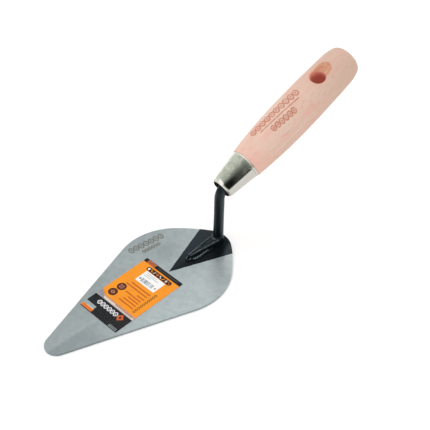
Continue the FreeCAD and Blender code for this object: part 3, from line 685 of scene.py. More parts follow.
def printed(name, specular, least_rough):
    """Printed stock: the ink is stored on the mesh, the stock adds its own tooth."""
    grain = 0.6                # strength of the paper's own surface
    m = Material(name)
    fibre = m.noise(m.mm, rates=1.6, detail=4.0, rough=0.6)
    tooth = m.noise(m.mm, rates=6.0, detail=2.0)
    cloud = m.noise(m.mm, rates=0.08, detail=2.0)
    col = m.tints(m.attribute("ink", "Color"), (
        (fibre, 0.45, 0.75, 0.10 * grain, (250, 240, 226)),
        (cloud, 0.5, 0.75, 0.10, (90, 70, 50))))
    height = tooth * 0.35 + cloud * 2.0
    return m.finish(Base_Color=col, Roughness=least_rough + tooth * 0.12,
                    Specular_IOR_Level=specular,
                    Normal=m.bump(height, strength=0.12 * grain, distance=0.00006))


WOOD = beech()
NICKEL = nickel()
TANG_PAINT = tang_enamel()
BLADE_PAINT = blade_enamel()
STEEL = steel()
LABEL_STOCK = printed("label_stock", specular=0.20, least_rough=0.34)
STICKER_STOCK = printed("sticker_stock", specular=0.4, least_rough=0.42)

# ----------------------------------------------------------------------------
# ferrule: drawn and rolled shell, a bead at the rim, one punched mark
# ----------------------------------------------------------------------------
NOSE, SHOULDER, RIM = -9.4, -7.7, 14.6         # stations
MOUTH_R, SMALL_R, LARGE_R, WALL = 6.6, 8.12, 11.02, 0.8
FERRULE_SLOPE = (LARGE_R - SMALL_R) / (RIM - SHOULDER)
BEAD_START = 12.9
FERRULE_SEGMENTS = 288
MARK_ANGLE, MARK_STATION = math.radians(53.0), 13.0


def ferrule_inner(station):
    return SMALL_R - WALL + FERRULE_SLOPE * (station - SHOULDER)


def ferrule_shading(obj, s, turn, from_mark, outer):
    """Store the stain round the mark, painted shade on a line before the bead and inside the
    shell, a painted dark reflection band and painted highlights.
    """
    stain_and_shade = bell(from_mark, 0.85) + 0.5 * bell(from_mark - 1.5, 0.4) * (np.sin(turn * 61) > -0.2)
    # painted shade: a darker line before the bead, and the whole inside of the shell
    rim_line = 0.5 * bell(s - 13.0, 0.3) * np.clip(np.cos(turn - 0.9) * 0.8 - 0.1, 0, 1)
    stain_and_shade = np.where(outer, np.clip(stain_and_shade + rim_line, 0, 1), 0.4)

    turn = (turn + math.pi) % (2 * math.pi) - math.pi
    # painted highlights: a crest along the bead, a glint on the nose, a line on the lip
    bead = bell(s - 14.15, 0.42, 4)
    crest = bead * (sigmoid((turn + 0.22) * 9) - sigmoid((turn - 0.86) * 12))
    crest = np.maximum(crest, 0.35 * bead * (turn > 1.1))
    spot = 1.15 * bell(s + 7.8 + 1.6 * (turn - 0.18), 1.25, 4) * bell(turn - 0.18, 0.27, 4)
    lip = 0.75 * bell(s + 9.1, 0.45) * bell(turn - 0.75, 0.5)
    # painted dark reflection: a band down the +X side, with a darker strip at its edge
    painted_dark_reflection = (ramp(turn + 0.13 * ramp(s, 0, -8.0), 0.50, 0.22) * ramp(turn, 1.05, -0.06)
             * ramp(s, 9.5, -13.0) * ramp(s, -9.25, 0.3))
    strip = (ramp(turn, 0.98, 0.06) * ramp(turn, 1.17, -0.05)
             * ramp(s, 12.9, -1.0) * ramp(s, -8.4, 0.8))
    painted_dark_reflection = np.maximum(painted_dark_reflection, strip) * (1.0 - np.clip(spot, 0, 1))
    painted_glint = np.where(outer | (s < -8.0), np.clip(crest + spot + lip, 0, 1), 0.0)

    point_attribute(obj, "stain_and_shade", stain_and_shade.ravel())
    point_attribute(obj, "painted_dark_reflection", np.where(outer, np.clip(painted_dark_reflection, 0, 1), 0.0).ravel())
    point_attribute(obj, "painted_glint", painted_glint.ravel())


def build_ferrule():
    # columns: station, radius, corner radius
    section = np.array([
        (NOSE + WALL, MOUTH_R, 0.25),
        (NOSE, MOUTH_R, 0.42),
        (SHOULDER, SMALL_R, 1.5),
        (BEAD_START, SMALL_R + FERRULE_SLOPE * (BEAD_START - SHOULDER), 0.5),
        (13.25, LARGE_R - 0.09, 0.3),
        (13.75, LARGE_R + 0.11, 0.5),
        (RIM, LARGE_R + 0.07, 0.32),
        (RIM, LARGE_R - WALL, 0.12),
        (SHOULDER, SMALL_R - WALL, 0.8)])
    profile = rounded_outline(section[:, :2], section[:, 2], step=0.4)
    angles = np.arange(FERRULE_SEGMENTS) * 2 * math.pi / FERRULE_SEGMENTS
    s, turn = np.meshgrid(profile[:, 0], angles, indexing="ij")
    radius = np.repeat(profile[:, 1][:, None], FERRULE_SEGMENTS, 1)
    from_mark = np.sqrt(((turn - MARK_ANGLE) * radius) ** 2 + (s - MARK_STATION) ** 2)
    outer = radius > ferrule_inner(s) + 0.4
    dent = bell(from_mark, 0.6) - 0.35 * bell(from_mark - 1.1, 0.35)
    radius = radius - np.where(outer, 0.3 * dent, 0.0)
    verts = handle_point(s.ravel(), (radius * np.sin(turn)).ravel(),
                         (radius * np.cos(turn)).ravel())
    faces = []
    for i in range(len(profile)):
        row, next_row = i * FERRULE_SEGMENTS, (i + 1) % len(profile) * FERRULE_SEGMENTS
        for k in range(FERRULE_SEGMENTS):
            k2 = (k + 1) % FERRULE_SEGMENTS
            faces.append((row + k, row + k2, next_row + k2, next_row + k))
    ferrule = mesh_object("ferrule_shell", verts, faces)
    ferrule_shading(ferrule, s, turn, from_mark, outer)
    fit(ferrule, NICKEL, "ferrule")


build_ferrule()

# ----------------------------------------------------------------------------
# path of the tang in the YZ plane: shank, bend, spike inside the handle
# ----------------------------------------------------------------------------
SHANK_LEAN = math.radians(1.74)
BEND_R = 11.0
SHANK_R, SPIKE_R = 3.45, 1.8
SPIKE_LENGTH, SPIKE_CORE = 66.0, 64.8
SHANK_BASE = np.array([-0.1, BLADE_TOP])
SHANK_DIR = np.array([math.sin(SHANK_LEAN), math.cos(SHANK_LEAN)])
SPIKE_DIR, origin_yz = HANDLE_AXIS[1:], HANDLE_ORIGIN[1:]
reach = np.linalg.solve(np.array([SHANK_DIR, -SPIKE_DIR]).T, origin_yz - SHANK_BASE)[0]
path_corner = SHANK_BASE + SHANK_DIR * reach
bend_trim = BEND_R * math.tan(math.acos(float(SHANK_DIR @ SPIKE_DIR)) / 2)
BEND_START = path_corner - SHANK_DIR * bend_trim
BEND_END = path_corner + SPIKE_DIR * bend_trim
BEND_CENTRE = BEND_START + np.array([SHANK_DIR[1], -SHANK_DIR[0]]) * BEND_R
SPIKE_START = float((BEND_END - origin_yz) @ SPIKE_DIR)      # station


def spike_radius(station):
    return SHANK_R + (SPIKE_R - SHANK_R) * ramp(station, SPIKE_START + 2.0, SPIKE_LENGTH - 3.2)


# ----------------------------------------------------------------------------
# handle: turned beech grip with the hanging hole and the scoop beside it
# ----------------------------------------------------------------------------
FACE_STATION = 14.65           # face that meets the ferrule's rim
FACE_ROUND = 0.42
NECK_START = 3.0
WIDEST_R, WIDEST_STATION = 14.11, 61.85
FRONT_ARC, BACK_ARC = 400.0, 993.2             # barrel radii each side of the widest place
# arcs of the butt; columns: radius, heading where the arc ends in degrees
BUTT_START, BUTT_HEADING = (104.588, 13.191), -2.47
BUTT_ARCS = [(32.31, -18.1), (5.47, -78.0), (36.33, -89.99)]


def barrel(station):
    s = np.asarray(station, float)
    back_s = np.minimum(s, 110.0)
    return np.where(
        s < WIDEST_STATION,
        WIDEST_R - FRONT_ARC + np.sqrt(FRONT_ARC ** 2 - (s - WIDEST_STATION) ** 2),
        WIDEST_R - BACK_ARC + np.sqrt(BACK_ARC ** 2 - (back_s - WIDEST_STATION) ** 2))


def butt_points():
    """Three tangent arcs from the barrel to the axis, as (station, radius)."""
    parts = 26
    points = []
    at, heading = np.array(BUTT_START), math.radians(BUTT_HEADING)
    for radius, end in BUTT_ARCS:
        end = math.radians(end)
        centre = at + radius * np.array([math.sin(heading), -math.cos(heading)])
        for k in range(1, parts + 1):
            angle = heading + (end - heading) * k / parts
            point = centre + radius * np.array([-math.sin(angle), math.cos(angle)])
            if point[1] > 0.02:
                points.append(point)
        at, heading = points[-1], end
    return points


def handle_outline():
    """Closed (station, radius) outline of the whole handle, mirrored in the axis."""
    face_in = FACE_STATION + FACE_ROUND
    face_r = float(barrel(face_in))
    neck_r = ferrule_inner(NECK_START) - 0.05
    half = [(NECK_START, 0.0), (NECK_START, neck_r - 0.5), (3.5, neck_r + 0.02),
            (FACE_STATION, ferrule_inner(FACE_STATION) - 0.05),
            (FACE_STATION, face_r - FACE_ROUND)]
    half += [(face_in - FACE_ROUND * math.cos(t), face_r - FACE_ROUND + FACE_ROUND * math.sin(t))
             for t in np.linspace(0.25, 1.35, 5)]
    grip = np.linspace(face_in, 104.4, 150)
    half += list(zip(grip, barrel(grip)))
    butt = butt_points()
    half += [tuple(point) for point in butt] + [(butt[-1][0] + 0.002, 0.0)]
    half = np.array(half)
    return np.vstack([half, (half * np.array([1, -1]))[::-1][1:-1]])


profile_distance = OutlineDistance(handle_outline(), (1.0, -16.0), (121.0, 17.0), 0.2)

# shallow round scoop on the butt side of the hole, cut by a ball
SCOOP_STATION, SCOOP_R, SCOOP_DEPTH = 94.4, 6.4, 3.0
SCOOP_TURN = math.radians(4.0)
BALL_R = (SCOOP_R ** 2 + SCOOP_DEPTH ** 2) / (2 * SCOOP_DEPTH)
ball_out = float(barrel(SCOOP_STATION)) + BALL_R - SCOOP_DEPTH
BALL_ACROSS, BALL_UP = ball_out * math.sin(SCOOP_TURN), ball_out * math.cos(SCOOP_TURN)
CUT_ROUND = 0.9                # softening where hole and scoop meet the grip


def from_ball(s, x, v):
    return np.sqrt((s - SCOOP_STATION) ** 2 + (x - BALL_ACROSS) ** 2 + (v - BALL_UP) ** 2)


def hole_across(x, v):
    return x * math.cos(HOLE_TURN) - v * math.sin(HOLE_TURN)


def handle_field(p):
    s, x, v = p[:, 0], p[:, 1], p[:, 2]
    r = np.sqrt(x * x + v * v)
    field = smooth_max(profile_distance(s, r), -(from_ball(s, x, v) - BALL_R), CUT_ROUND)
    across = hole_across(x, v)
    from_hole = np.sqrt((s - HOLE_STATION) ** 2 + across * across)
    field = smooth_max(field, HOLE_R - from_hole, CUT_ROUND)
    spike_bore = np.maximum(r - spike_radius(s) - 0.06,
                            s - (SPIKE_START + SPIKE_LENGTH) - 1.0)
    return np.maximum(field, -spike_bore)


def cut_shading(s, x, v):
    """How cut the wood looks, with painted light and shade in the hole: 0 on the grip, 1 deep in
    the hanging hole.
    """
    depth = -profile_distance(s, np.sqrt(x ** 2 + v ** 2))
    across = hole_across(x, v)
    from_hole = np.hypot(s - HOLE_STATION, across)
    down = barrel(s) - (x * math.sin(HOLE_TURN) + v * math.cos(HOLE_TURN))
    in_hole = (from_hole < HOLE_R + 0.45) & (s > 70) & (depth > 0.12)
    in_scoop = (from_ball(s, x, v) < BALL_R + 0.3) & (depth > 0.08)
    # painted shade grows with distance from the nearer mouth, and is less on the wall facing the
    # lamp (painted light)
    near_mouth = np.minimum(down, 1.8 * (2 * 13.6 - down))
    near_mouth = near_mouth * (1.0 - 0.62 * ramp(across, 0.0, 4.5))
    rim = 0.15 * bell(from_hole - HOLE_R, 0.9) * (s > 70)
    rim = rim * np.clip(0.4 + (s - HOLE_STATION) / 5.0 - x / 6.0, 0, 1)
    scoop = 0.05 + 0.12 * ramp(depth, 0, 0.6) + 0.09 * ramp(depth, 0, 3.0)
    cut_and_shade = np.where(in_scoop, scoop, np.where(v > 0, rim, 0.0))
    wall = 0.34 + 0.66 * ramp(near_mouth, 0, 11.0)
    wall = np.minimum(wall, 0.12 + 0.9 * ramp(down, 27.0, -4.5))   # paler at the lower mouth
    cut_and_shade = np.where(in_hole & (~in_scoop | (from_hole < HOLE_R + 0.2)), wall, cut_and_shade)
    in_spike_bore = (depth > 2.0) & ~(in_hole | in_scoop)
    return np.where(in_spike_bore, 0.3, cut_and_shade)


def build_handle():
    verts, faces = surface_nets(handle_field, (1.6, -15.4, -15.4), (119.4, 15.4, 15.4), 0.37)
    s, x, v = verts.T
    handle = mesh_object("handle_grip", handle_point(s, x, v), faces)
    point_attribute(handle, "cut_and_shade", cut_shading(s, x, v))
    fit(handle, WOOD, "handle")


build_handle()

# ----------------------------------------------------------------------------
# tang: forged foot, shank, gooseneck and spike in one skin
# ----------------------------------------------------------------------------
FOOT_TOP = 5.5
FOOT_START, FOOT_RUN = 2.5, 28.0               # y where the taper starts, its length
# half widths of the foot at the start and the end of its taper
FOOT_BOTTOM_WIDE, FOOT_BOTTOM_NARROW = 4.15, 1.75
FOOT_TOP_WIDE, FOOT_TOP_NARROW = 3.5, 1.0
FOOT_TO_STEM = 1.7             # blend between foot and shank


def foot_taper(y):
    return np.clip((FOOT_START - y) / FOOT_RUN, 0, 1.05)


def foot_top_width(y):
    return FOOT_TOP_WIDE + (FOOT_TOP_NARROW - FOOT_TOP_WIDE) * foot_taper(y)


def stem_field(x, y, z):
    """Shank, bend and spike."""
    qy, qz = y - SHANK_BASE[0], z - SHANK_BASE[1]
    along = qy * SHANK_DIR[0] + qz * SHANK_DIR[1]
    off = qy * SHANK_DIR[1] - qz * SHANK_DIR[0]
    shank_length = float(np.linalg.norm(BEND_START - SHANK_BASE))
    from_shank = np.hypot(off, along - np.clip(along, -2.0, shank_length))
    shank_r = (SHANK_R + 0.16 * np.exp(-np.clip(along, 0, 80) / 7.0)
               + 0.035 * ripple(along, seed=3, terms=3, rate=0.22))

    angle = np.arctan2(z - BEND_CENTRE[1], y - BEND_CENTRE[0])
    ends = [math.atan2(*(end - BEND_CENTRE)[::-1]) for end in (BEND_START, BEND_END)]
    angle = np.clip(angle, min(ends), max(ends))
    from_bend = np.hypot(y - BEND_CENTRE[0] - BEND_R * np.cos(angle),
                         z - BEND_CENTRE[1] - BEND_R * np.sin(angle))

    qy, qz = y - BEND_END[0], z - BEND_END[1]
    along = qy * SPIKE_DIR[0] + qz * SPIKE_DIR[1]
    off = qy * SPIKE_DIR[1] - qz * SPIKE_DIR[0]
    on_spike = np.clip(along, 0, SPIKE_CORE)
    from_spike = np.hypot(off, along - on_spike)
    spike_r = spike_radius(on_spike + SPIKE_START)
    return np.minimum(np.sqrt(x * x + from_shank * from_shank) - shank_r,
                      np.minimum(np.sqrt(x * x + from_bend * from_bend) - SHANK_R,
                                 np.sqrt(x * x + from_spike * from_spike) - spike_r))


def foot_field(x, y, z):
    """Tapering wedge with a rounded nose and a hollow top that falls at the nose."""
    back_y, nose_y = -0.2, -25.4
    taper = foot_taper(y)
    height = np.clip((z - BLADE_TOP) / (FOOT_TOP - BLADE_TOP), -0.3, 1.2)
    bottom = FOOT_BOTTOM_WIDE + (FOOT_BOTTOM_NARROW - FOOT_BOTTOM_WIDE) * taper
    top = foot_top_width(y)
    beyond = (y - np.clip(y, nose_y, back_y)) * np.where(y > back_y, 1.25, 0.8)
    plan = np.sqrt(x * x + beyond ** 2) - (bottom + (top - bottom) * height)
    hollow = 0.42 * np.clip(1.0 - (x / np.maximum(top - 0.25, 0.6)) ** 2, 0, 1)
    hollow = hollow * ramp(y, -27.0, 6.0) * ramp(y, -3.4, -2.0)
    crown = (FOOT_TOP - 0.085 * np.clip(-14.0 - y, 0, 30) - 0.05 * np.clip(x, 0, 5) - hollow
             + 0.04 * ripple(y, seed=11, terms=3, rate=0.5))
    return smooth_max(plan * 0.95, (z - crown) * 0.97, 0.55)


def tang_field(p):
    x, y, z = p[:, 0], p[:, 1], p[:, 2]
    field = smooth_min(stem_field(x, y, z), foot_field(x, y, z), FOOT_TO_STEM)
    return np.maximum(field, BLADE_TOP + 0.005 - z)


def tang_highlights(x, y, z):
    """Painted highlights on the foot's two arrises, its throat and seam, and painted reflections
    in streaks on the shank.
    """
    edge = foot_top_width(y)
    far_line = np.hypot(-x - edge + 0.15, np.minimum(z - 4.2, 0.0))
    near_line = np.hypot(x - edge - 0.1, (z - 4.75) * 0.8)
    on_foot = ramp(y, -27.2, 1.2) * ramp(y, -1.6, -1.2)
    painted_highlight = np.maximum(0.85 * bell(far_line, 0.34), 0.80 * bell(near_line, 0.36)) * on_foot
    painted_highlight = painted_highlight * (0.72 + 0.28 * ripple(y, seed=17, terms=4, rate=1.1))
    throat = bell(np.hypot(x, y + 0.1) - 4.5, 0.45) * (y < -2.2) * (z > 4.6)
    painted_highlight = np.maximum(painted_highlight, 0.5 * throat * np.clip(1.0 - np.abs(x) / 3.2, 0, 1))
    seam = bell(x + 0.3 - 0.02 * y, 0.22) * on_foot * (z > 3.6) * (y < -6.0)
    broken = np.clip(0.5 + ripple(y, seed=19, terms=3, rate=0.7), 0, 1)
    painted_highlight = np.maximum(painted_highlight, 0.28 * seam * broken)
    # level direction across the shank, and the one facing the camera
    cos_view, sin_view = 0.7325, 0.6807
    sideways = (x * sin_view + y * cos_view) / SHANK_R
    on_stem = ramp(z, 7.5, 4.0) * (x * cos_view - y * sin_view > -0.8)
    # painted reflections: a streak down one side of the shank and a band along the other
    streaks = 0.100 * bell(sideways + 0.58, 0.22) + 0.085 * ramp(sideways, 0.40, 0.35)
    return np.clip(np.maximum(painted_highlight, on_stem * streaks), 0, 1)


def build_tang():
    verts, faces = surface_nets(tang_field, (-5.2, -30.0, BLADE_TOP - 0.6),
                                (5.2, 70.5, 76.0), 0.33)
    tang = mesh_object("tang_forging", verts, faces)
    point_attribute(tang, "painted_highlight", tang_highlights(*verts.T))
    fit(tang, TANG_PAINT, "tang")


build_tang()

# ----------------------------------------------------------------------------
# weld: uneven run-on beads along the foot and a cratered pool at its nose
# ----------------------------------------------------------------------------
CRATER_X, CRATER_Y, CRATER_R = 0.5, -27.5, 1.2
# ridge line along the +X bead, where its painted highlight runs; columns: distance from the
# origin tipwards, x
WELD_CREST = np.array([(12.6, 3.3), (16.3, 3.5), (19.4, 3.7), (22.4, 3.7), (25.2, 3.1)])


def weld_lumps():
    """Ellipsoids; columns: x, y, z, radius in x, in y, in z."""
    rng = np.random.RandomState(7)
    lumps = []
    for side in (1, -1):
        y = -9.0
        while y > -26.4:
            taper = (FOOT_START - y) / 30.1
            off = 3.75 + (2.5 - 3.75) * taper + (0.25 if side > 0 else 0.0)
            r = rng.uniform(1.15, 1.4)
            lumps.append((side * (off + rng.uniform(-0.1, 0.2)), y,
                          BLADE_TOP + rng.uniform(0.15, 0.4),
                          r, rng.uniform(0.72, 0.88), r * rng.uniform(0.85, 1.0)))
            y -= rng.uniform(1.0, 1.3)
    return lumps + [(0.2, -27.3, BLADE_TOP + 0.1, 2.5, 2.3, 1.9),
                    (1.9, -26.0, BLADE_TOP + 0.3, 1.5, 1.4, 1.5),
                    (-1.5, -26.4, BLADE_TOP + 0.3, 1.4, 1.4, 1.3)]


LUMPS = weld_lumps()


def weld_field(p):
    x, y, z = p[:, 0], p[:, 1], p[:, 2]
    field = np.full(len(p), 9.0)
    for cx, cy, cz, rx, ry, rz in LUMPS:
        q = np.sqrt(((x - cx) / rx) ** 2 + ((y - cy) / ry) ** 2 + ((z - cz) / rz) ** 2)
        field = smooth_min(field, (q - 1.0) * min(rx, ry, rz), 0.38)
    crater = np.sqrt((x - CRATER_X) ** 2 + (y - CRATER_Y) ** 2
                     + (z - BLADE_TOP - 2.1) ** 2) - CRATER_R
    field = smooth_max(field, -crater, 0.25)
    field = smooth_max(field, -tang_field(p), 0.12)
    return np.maximum(field, BLADE_TOP + 0.006 - z)


def weld_highlights(x, y, z):
    """Painted highlights along the ridge of the +X bead and round the crater."""
    crest_x = (np.interp(-y, WELD_CREST[:, 0], WELD_CREST[:, 1])
               + 0.5 * ripple(y, seed=29, terms=4, rate=2.6))
    crest = bell(x - crest_x, 0.3) * (y < -12.6) * (y > -25.6) * (z > BLADE_TOP + 0.5)
    dx, dy = x - CRATER_X, y - CRATER_Y
    uneven = np.clip(0.45 + 0.7 * np.sin(2.3 * np.arctan2(dy, dx) + 1.0), 0, 1)
    ring = bell(np.hypot(dx, dy) - 1.35, 0.26) * uneven
    return np.clip(0.85 * crest + 0.55 * ring, 0, 1)


def build_weld():
    verts, faces = surface_nets(weld_field, (-7.0, -31.5, BLADE_TOP - 0.5),
                                (7.0, -6.0, 5.6), 0.2)
    weld = mesh_object("weld_runs", verts, faces)
    point_attribute(weld, "painted_highlight", weld_highlights(*verts.T))
    fit(weld, TANG_PAINT, "weld_beads")


build_weld()

# ----------------------------------------------------------------------------
# blade: outline of tangent arcs, quad grid across, rounded edges
# ----------------------------------------------------------------------------
HEEL_R, FLANK_R, SHOULDER_R, TIP_R = 16.6, 111.0, 40.0, 8.45
HEEL_CENTRE = np.array([0.0, HEEL_Y - HEEL_R])
SHOULDER_CENTRE = np.array([-1.0, -40.8])
TIP_CENTRE = np.array([0.0, TIP_Y + TIP_R])
EDGE_R = 0.25
EDGE_ANGLES = [math.radians(a) for a in (22.5, 45.0, 67.5, 90.0)]


def lower_x_crossing(c0, r0, c1, r1):
    """Of the two crossings of two circles, the one with the lower x."""
    d = c1 - c0
    length = np.linalg.norm(d)
    a = (r0 ** 2 - r1 ** 2 + length * length) / (2 * length)
    h = math.sqrt(max(r0 ** 2 - a * a, 0))
    middle = c0 + d / length * a
    normal = np.array([-d[1], d[0]]) / length
    return min((middle + normal * h, middle - normal * h), key=lambda q: q[0])


def blade_outline():
    """Points and outward normals of the +X side, from the heel to the tip."""
    def angle_of(vector):
        return math.atan2(vector[1], vector[0])

    def arc(centre, radius, start, end, count):
        t = np.linspace(start, end, count)
        normals = np.stack([np.cos(t), np.sin(t)], 1)
        return centre + radius * normals, normals

    flank = lower_x_crossing(HEEL_CENTRE, FLANK_R - HEEL_R,
                             SHOULDER_CENTRE, FLANK_R - SHOULDER_R)
    heel_end = angle_of(HEEL_CENTRE - flank)
    flank_end = angle_of(SHOULDER_CENTRE - flank)
    # straight run tangent to the shoulder and the tip
    centres = SHOULDER_CENTRE - TIP_CENTRE
    length = np.linalg.norm(centres)
    lean = math.acos((TIP_R - SHOULDER_R) / length)
    normal = np.array(Matrix.Rotation(-lean, 2) @ Vector(centres / length))
    start, end = SHOULDER_CENTRE + SHOULDER_R * normal, TIP_CENTRE + TIP_R * normal
    k = np.linspace(0, 1, 60)[:, None]
    runs = [arc(HEEL_CENTRE, HEEL_R, math.pi / 2, heel_end, 34),
            arc(flank, FLANK_R, heel_end, flank_end, 40),
            arc(SHOULDER_CENTRE, SHOULDER_R, flank_end, angle_of(normal), 50),
            (start + (end - start) * k, np.repeat(normal[None], 60, 0)),
            arc(TIP_CENTRE, TIP_R, angle_of(normal), -math.pi / 2, 30)]
    points, normals = [np.vstack([run[part][(1 if i else 0):] for i, run in enumerate(runs)])
                       for part in range(2)]
    points[0, 0] = points[-1, 0] = 0.0
    return points, normals


side_points, side_normals = blade_outline()


def build_blade():
    rows = len(side_points)
    verts, faces = [], []

    def add(points):
        start = len(verts)
        verts.extend(points)
        return start + np.arange(len(points))

    def edge_loop(inset, z):
        p = side_points - side_normals * inset
        right = np.column_stack([p, np.full(rows, z)])
        left = right[1:-1][::-1] * np.array([-1, 1, 1])
        return add(np.vstack([right, left]))

    def face_grid(inset, z, flip):
        """Grid across the blade; returns its boundary in the order of edge_loop."""
        p = side_points - side_normals * inset
        share = np.concatenate([[0, 0.004], np.linspace(0.03, 0.97, 33), [0.996, 1]])
        grid = np.empty((rows, len(share)), int)
        for i in range(rows):
            if i in (0, rows - 1):
                grid[i] = add([[0.0, p[i, 1], z]])
            else:
                xs = p[i, 0] * (2 * share - 1)
                grid[i] = add(np.column_stack([xs, np.full(len(xs), p[i, 1]),
                                               np.full(len(xs), z)]))
        for i in range(rows - 1):
            for j in range(len(share) - 1):
                quad = [grid[i, j], grid[i + 1, j], grid[i + 1, j + 1], grid[i, j + 1]]
                # the heel and tip rows are single points, so quads there are triangles
                faces.append(list(dict.fromkeys(quad[::-1] if flip else quad)))
        return np.concatenate([grid[:, -1], grid[1:-1, 0][::-1]])

    loops = [face_grid(EDGE_R, BLADE_TOP, False)]
    for t in EDGE_ANGLES:
        loops.append(edge_loop(EDGE_R * (1 - math.sin(t)),
                               BLADE_TOP - EDGE_R * (1 - math.cos(t))))
    for inset, z in ((0.0, 0.62), (0.0, 0.12), (0.035, 0.035)):
        loops.append(edge_loop(inset, z))
    loops.append(face_grid(0.12, 0.0, True))
    for upper, lower in zip(loops[:-1], loops[1:]):
        for i in range(len(upper)):
            j = (i + 1) % len(upper)
            faces.append([upper[i], upper[j], lower[j], lower[i]])
    blade = mesh_object("blade_sheet", verts, faces)
    fit(blade, STEEL, "blade")


build_blade()

# ----------------------------------------------------------------------------
# heel coat: fan of paint film over the heel, down over the edge
# ----------------------------------------------------------------------------
APEX = np.array([0.0, -44.4])
HALF_ANGLE = math.radians(20.9)
FILM, FILM_UNDER = 0.07, 0.003                 # lift of the film's top and underside
FILM_COLUMNS, FILM_ROWS = 73, 70
fan = np.linspace(-1, 1, FILM_COLUMNS)
fan = np.sign(fan) * (1 - (1 - np.abs(fan)) ** 1.15)   # columns closer at the sides
ring_points, ring_normals = [
    np.vstack([part, part[1:-1][::-1] * np.array([-1, 1])])
    for part in (side_points, side_normals)]


def outline_at(angle, inset):
    """Points and outward normals where rays from the apex meet the inset outline."""
    points = ring_points - ring_normals * inset
    d = points - APEX
    bearing = np.arctan2(d[:, 0], d[:, 1])
    order = np.argsort(bearing)
    return [np.stack([np.interp(angle, bearing[order], part[order, k]) for k in range(2)], 1)
            for part in (points, ring_normals)]


def film_layer(lift, thin_rim):
    """One skin of the film: rows from the apex to the edge, then down over it."""
    rows = []
    end = outline_at(fan * HALF_ANGLE, EDGE_R)[0]
    full = np.linalg.norm(end - APEX, axis=1)
    for i in range(FILM_ROWS + 1):
        share = (i / FILM_ROWS) ** 0.9
        r = 0.25 + (full - 0.25) * share
        wobble = [(0.10 * ripple(r, seed, terms=5, rate=0.9) + 0.06) / np.maximum(r, 2.0)
                  for seed in (21, 22)]
        wobble = np.where(fan < 0, *wobble) * (1.0 - share ** 8)
        angle = fan * (HALF_ANGLE + wobble)
        p = APEX + np.stack([np.sin(angle), np.cos(angle)], 1) * r[:, None]
        if i == FILM_ROWS:
            p = end
        z = np.full(FILM_COLUMNS, BLADE_TOP + lift)
        if thin_rim:
            from_side = (1 - np.abs(fan)) * HALF_ANGLE * r
            fall = np.clip(from_side / 0.22, 0, 1) * np.clip(r / 0.9, 0.1, 1)
            z = BLADE_TOP + 0.004 + (lift - 0.004) * np.sqrt(np.clip(1 - (1 - fall) ** 2, 0, 1))
        rows.append(np.column_stack([p, z]))
    thickness = rows[-1][:, 2] - BLADE_TOP

    def add_row(inset, out, z):
        p, normal = outline_at(fan * HALF_ANGLE, inset)
        normal = normal / np.linalg.norm(normal, axis=1)[:, None]
        rows.append(np.column_stack([p + normal * out[:, None], z]))

    for t in EDGE_ANGLES:
        add_row(EDGE_R * (1 - math.sin(t)), thickness * math.sin(t),
                BLADE_TOP - EDGE_R * (1 - math.cos(t)) + thickness * math.cos(t))
    for level in (0.75, 0.5, 0.25, 0.12):
        thinned = 0.5 if thin_rim and level == 0.12 else 1.0
        add_row(0.0, thickness * thinned, np.full(FILM_COLUMNS, level))
    return np.array(rows)


def build_coat():
    upper, lower = film_layer(FILM, True), film_layer(FILM_UNDER, False)
    rows, cols = upper.shape[:2]
    under = rows * cols        # first vertex of the underside
    faces = []

    def wall(a, b, flip):
        quad = (a, b, b + under, a + under)
        faces.append(quad[::-1] if flip else quad)

    for i in range(rows - 1):
        for j in range(cols - 1):
            a = i * cols + j
            quad = (a, a + 1, a + cols + 1, a + cols)
            faces.append(quad[::-1])
            faces.append(tuple(k + under for k in quad))
    for i in range(rows - 1):
        a, b = i * cols, (i + 1) * cols
        wall(a, b, True)
        wall(a + cols - 1, b + cols - 1, False)
    last = (rows - 1) * cols
    for j in range(cols - 1):
        wall(j, j + 1, False)
        wall(last + j, last + j + 1, True)
    coat = mesh_object("heel_coat_film",
                       np.vstack([upper.reshape(-1, 3), lower.reshape(-1, 3)]), faces)
    fit(coat, BLADE_PAINT, "heel_coat")


build_coat()

# ----------------------------------------------------------------------------
# printed pieces: x across (+X side), y along towards the heel, turned a little
# ----------------------------------------------------------------------------
PRINT_TURN = math.radians(2.33)
PRINT_GAP = 0.002              # lift of the underside off the CAD piece's own


def rectangle(x0, y0, x1, y1, radius=0.0, parts=6):
    """Rectangle, counter-clockwise, rounded if a radius is given."""
    if radius <= 0:
        return [(x0, y0), (x1, y0), (x1, y1), (x0, y1)]
    left, right, low, high = x0 + radius, x1 - radius, y0 + radius, y1 - radius
    points = []
    for cx, cy, start in ((right, low, -90), (right, high, 0), (left, high, 90),
                          (left, low, 180)):
        for k in range(parts + 1):
            t = math.radians(start + 90 * k / parts)
            points.append((cx + radius * math.cos(t), cy + radius * math.sin(t)))
    return points


class Artwork:
    """Printed shapes in order; later ones lie on earlier ones."""

    def __init__(self):
        self.shapes = []

    def shape(self, points, rgb):
        self.shapes.append((points, srgb(*rgb)))

    def rect(self, x0, y0, x1, y1, rgb, radius=0.0):
        self.shape(rectangle(x0, y0, x1, y1, radius), rgb)

    def row(self, count, pitch, x0, y0, x1, y1, rgb):
        """Equal rectangles side by side; the first is given."""
        for k in range(count):
            self.rect(x0 + k * pitch, y0, x1 + k * pitch, y1, rgb)

    def disc(self, cx, cy, rx, ry, count, rgb):
        turns = [2 * math.pi * k / count for k in range(count)]
        self.shape([(cx + rx * math.cos(t), cy + ry * math.sin(t)) for t in turns], rgb)

    def lozenge(self, cx, cy, rx, ry, rgb):
        self.shape([(cx - rx, cy), (cx, cy - ry), (cx + rx, cy), (cx, cy + ry)], rgb)


def inside(outline, x, y):
    result = False
    for i, (x0, y0) in enumerate(outline):
        x1, y1 = outline[i - 1]
        if (y0 > y) != (y1 > y) and x < (x1 - x0) * (y - y0) / (y1 - y0) + x0:
            result = not result
    return result


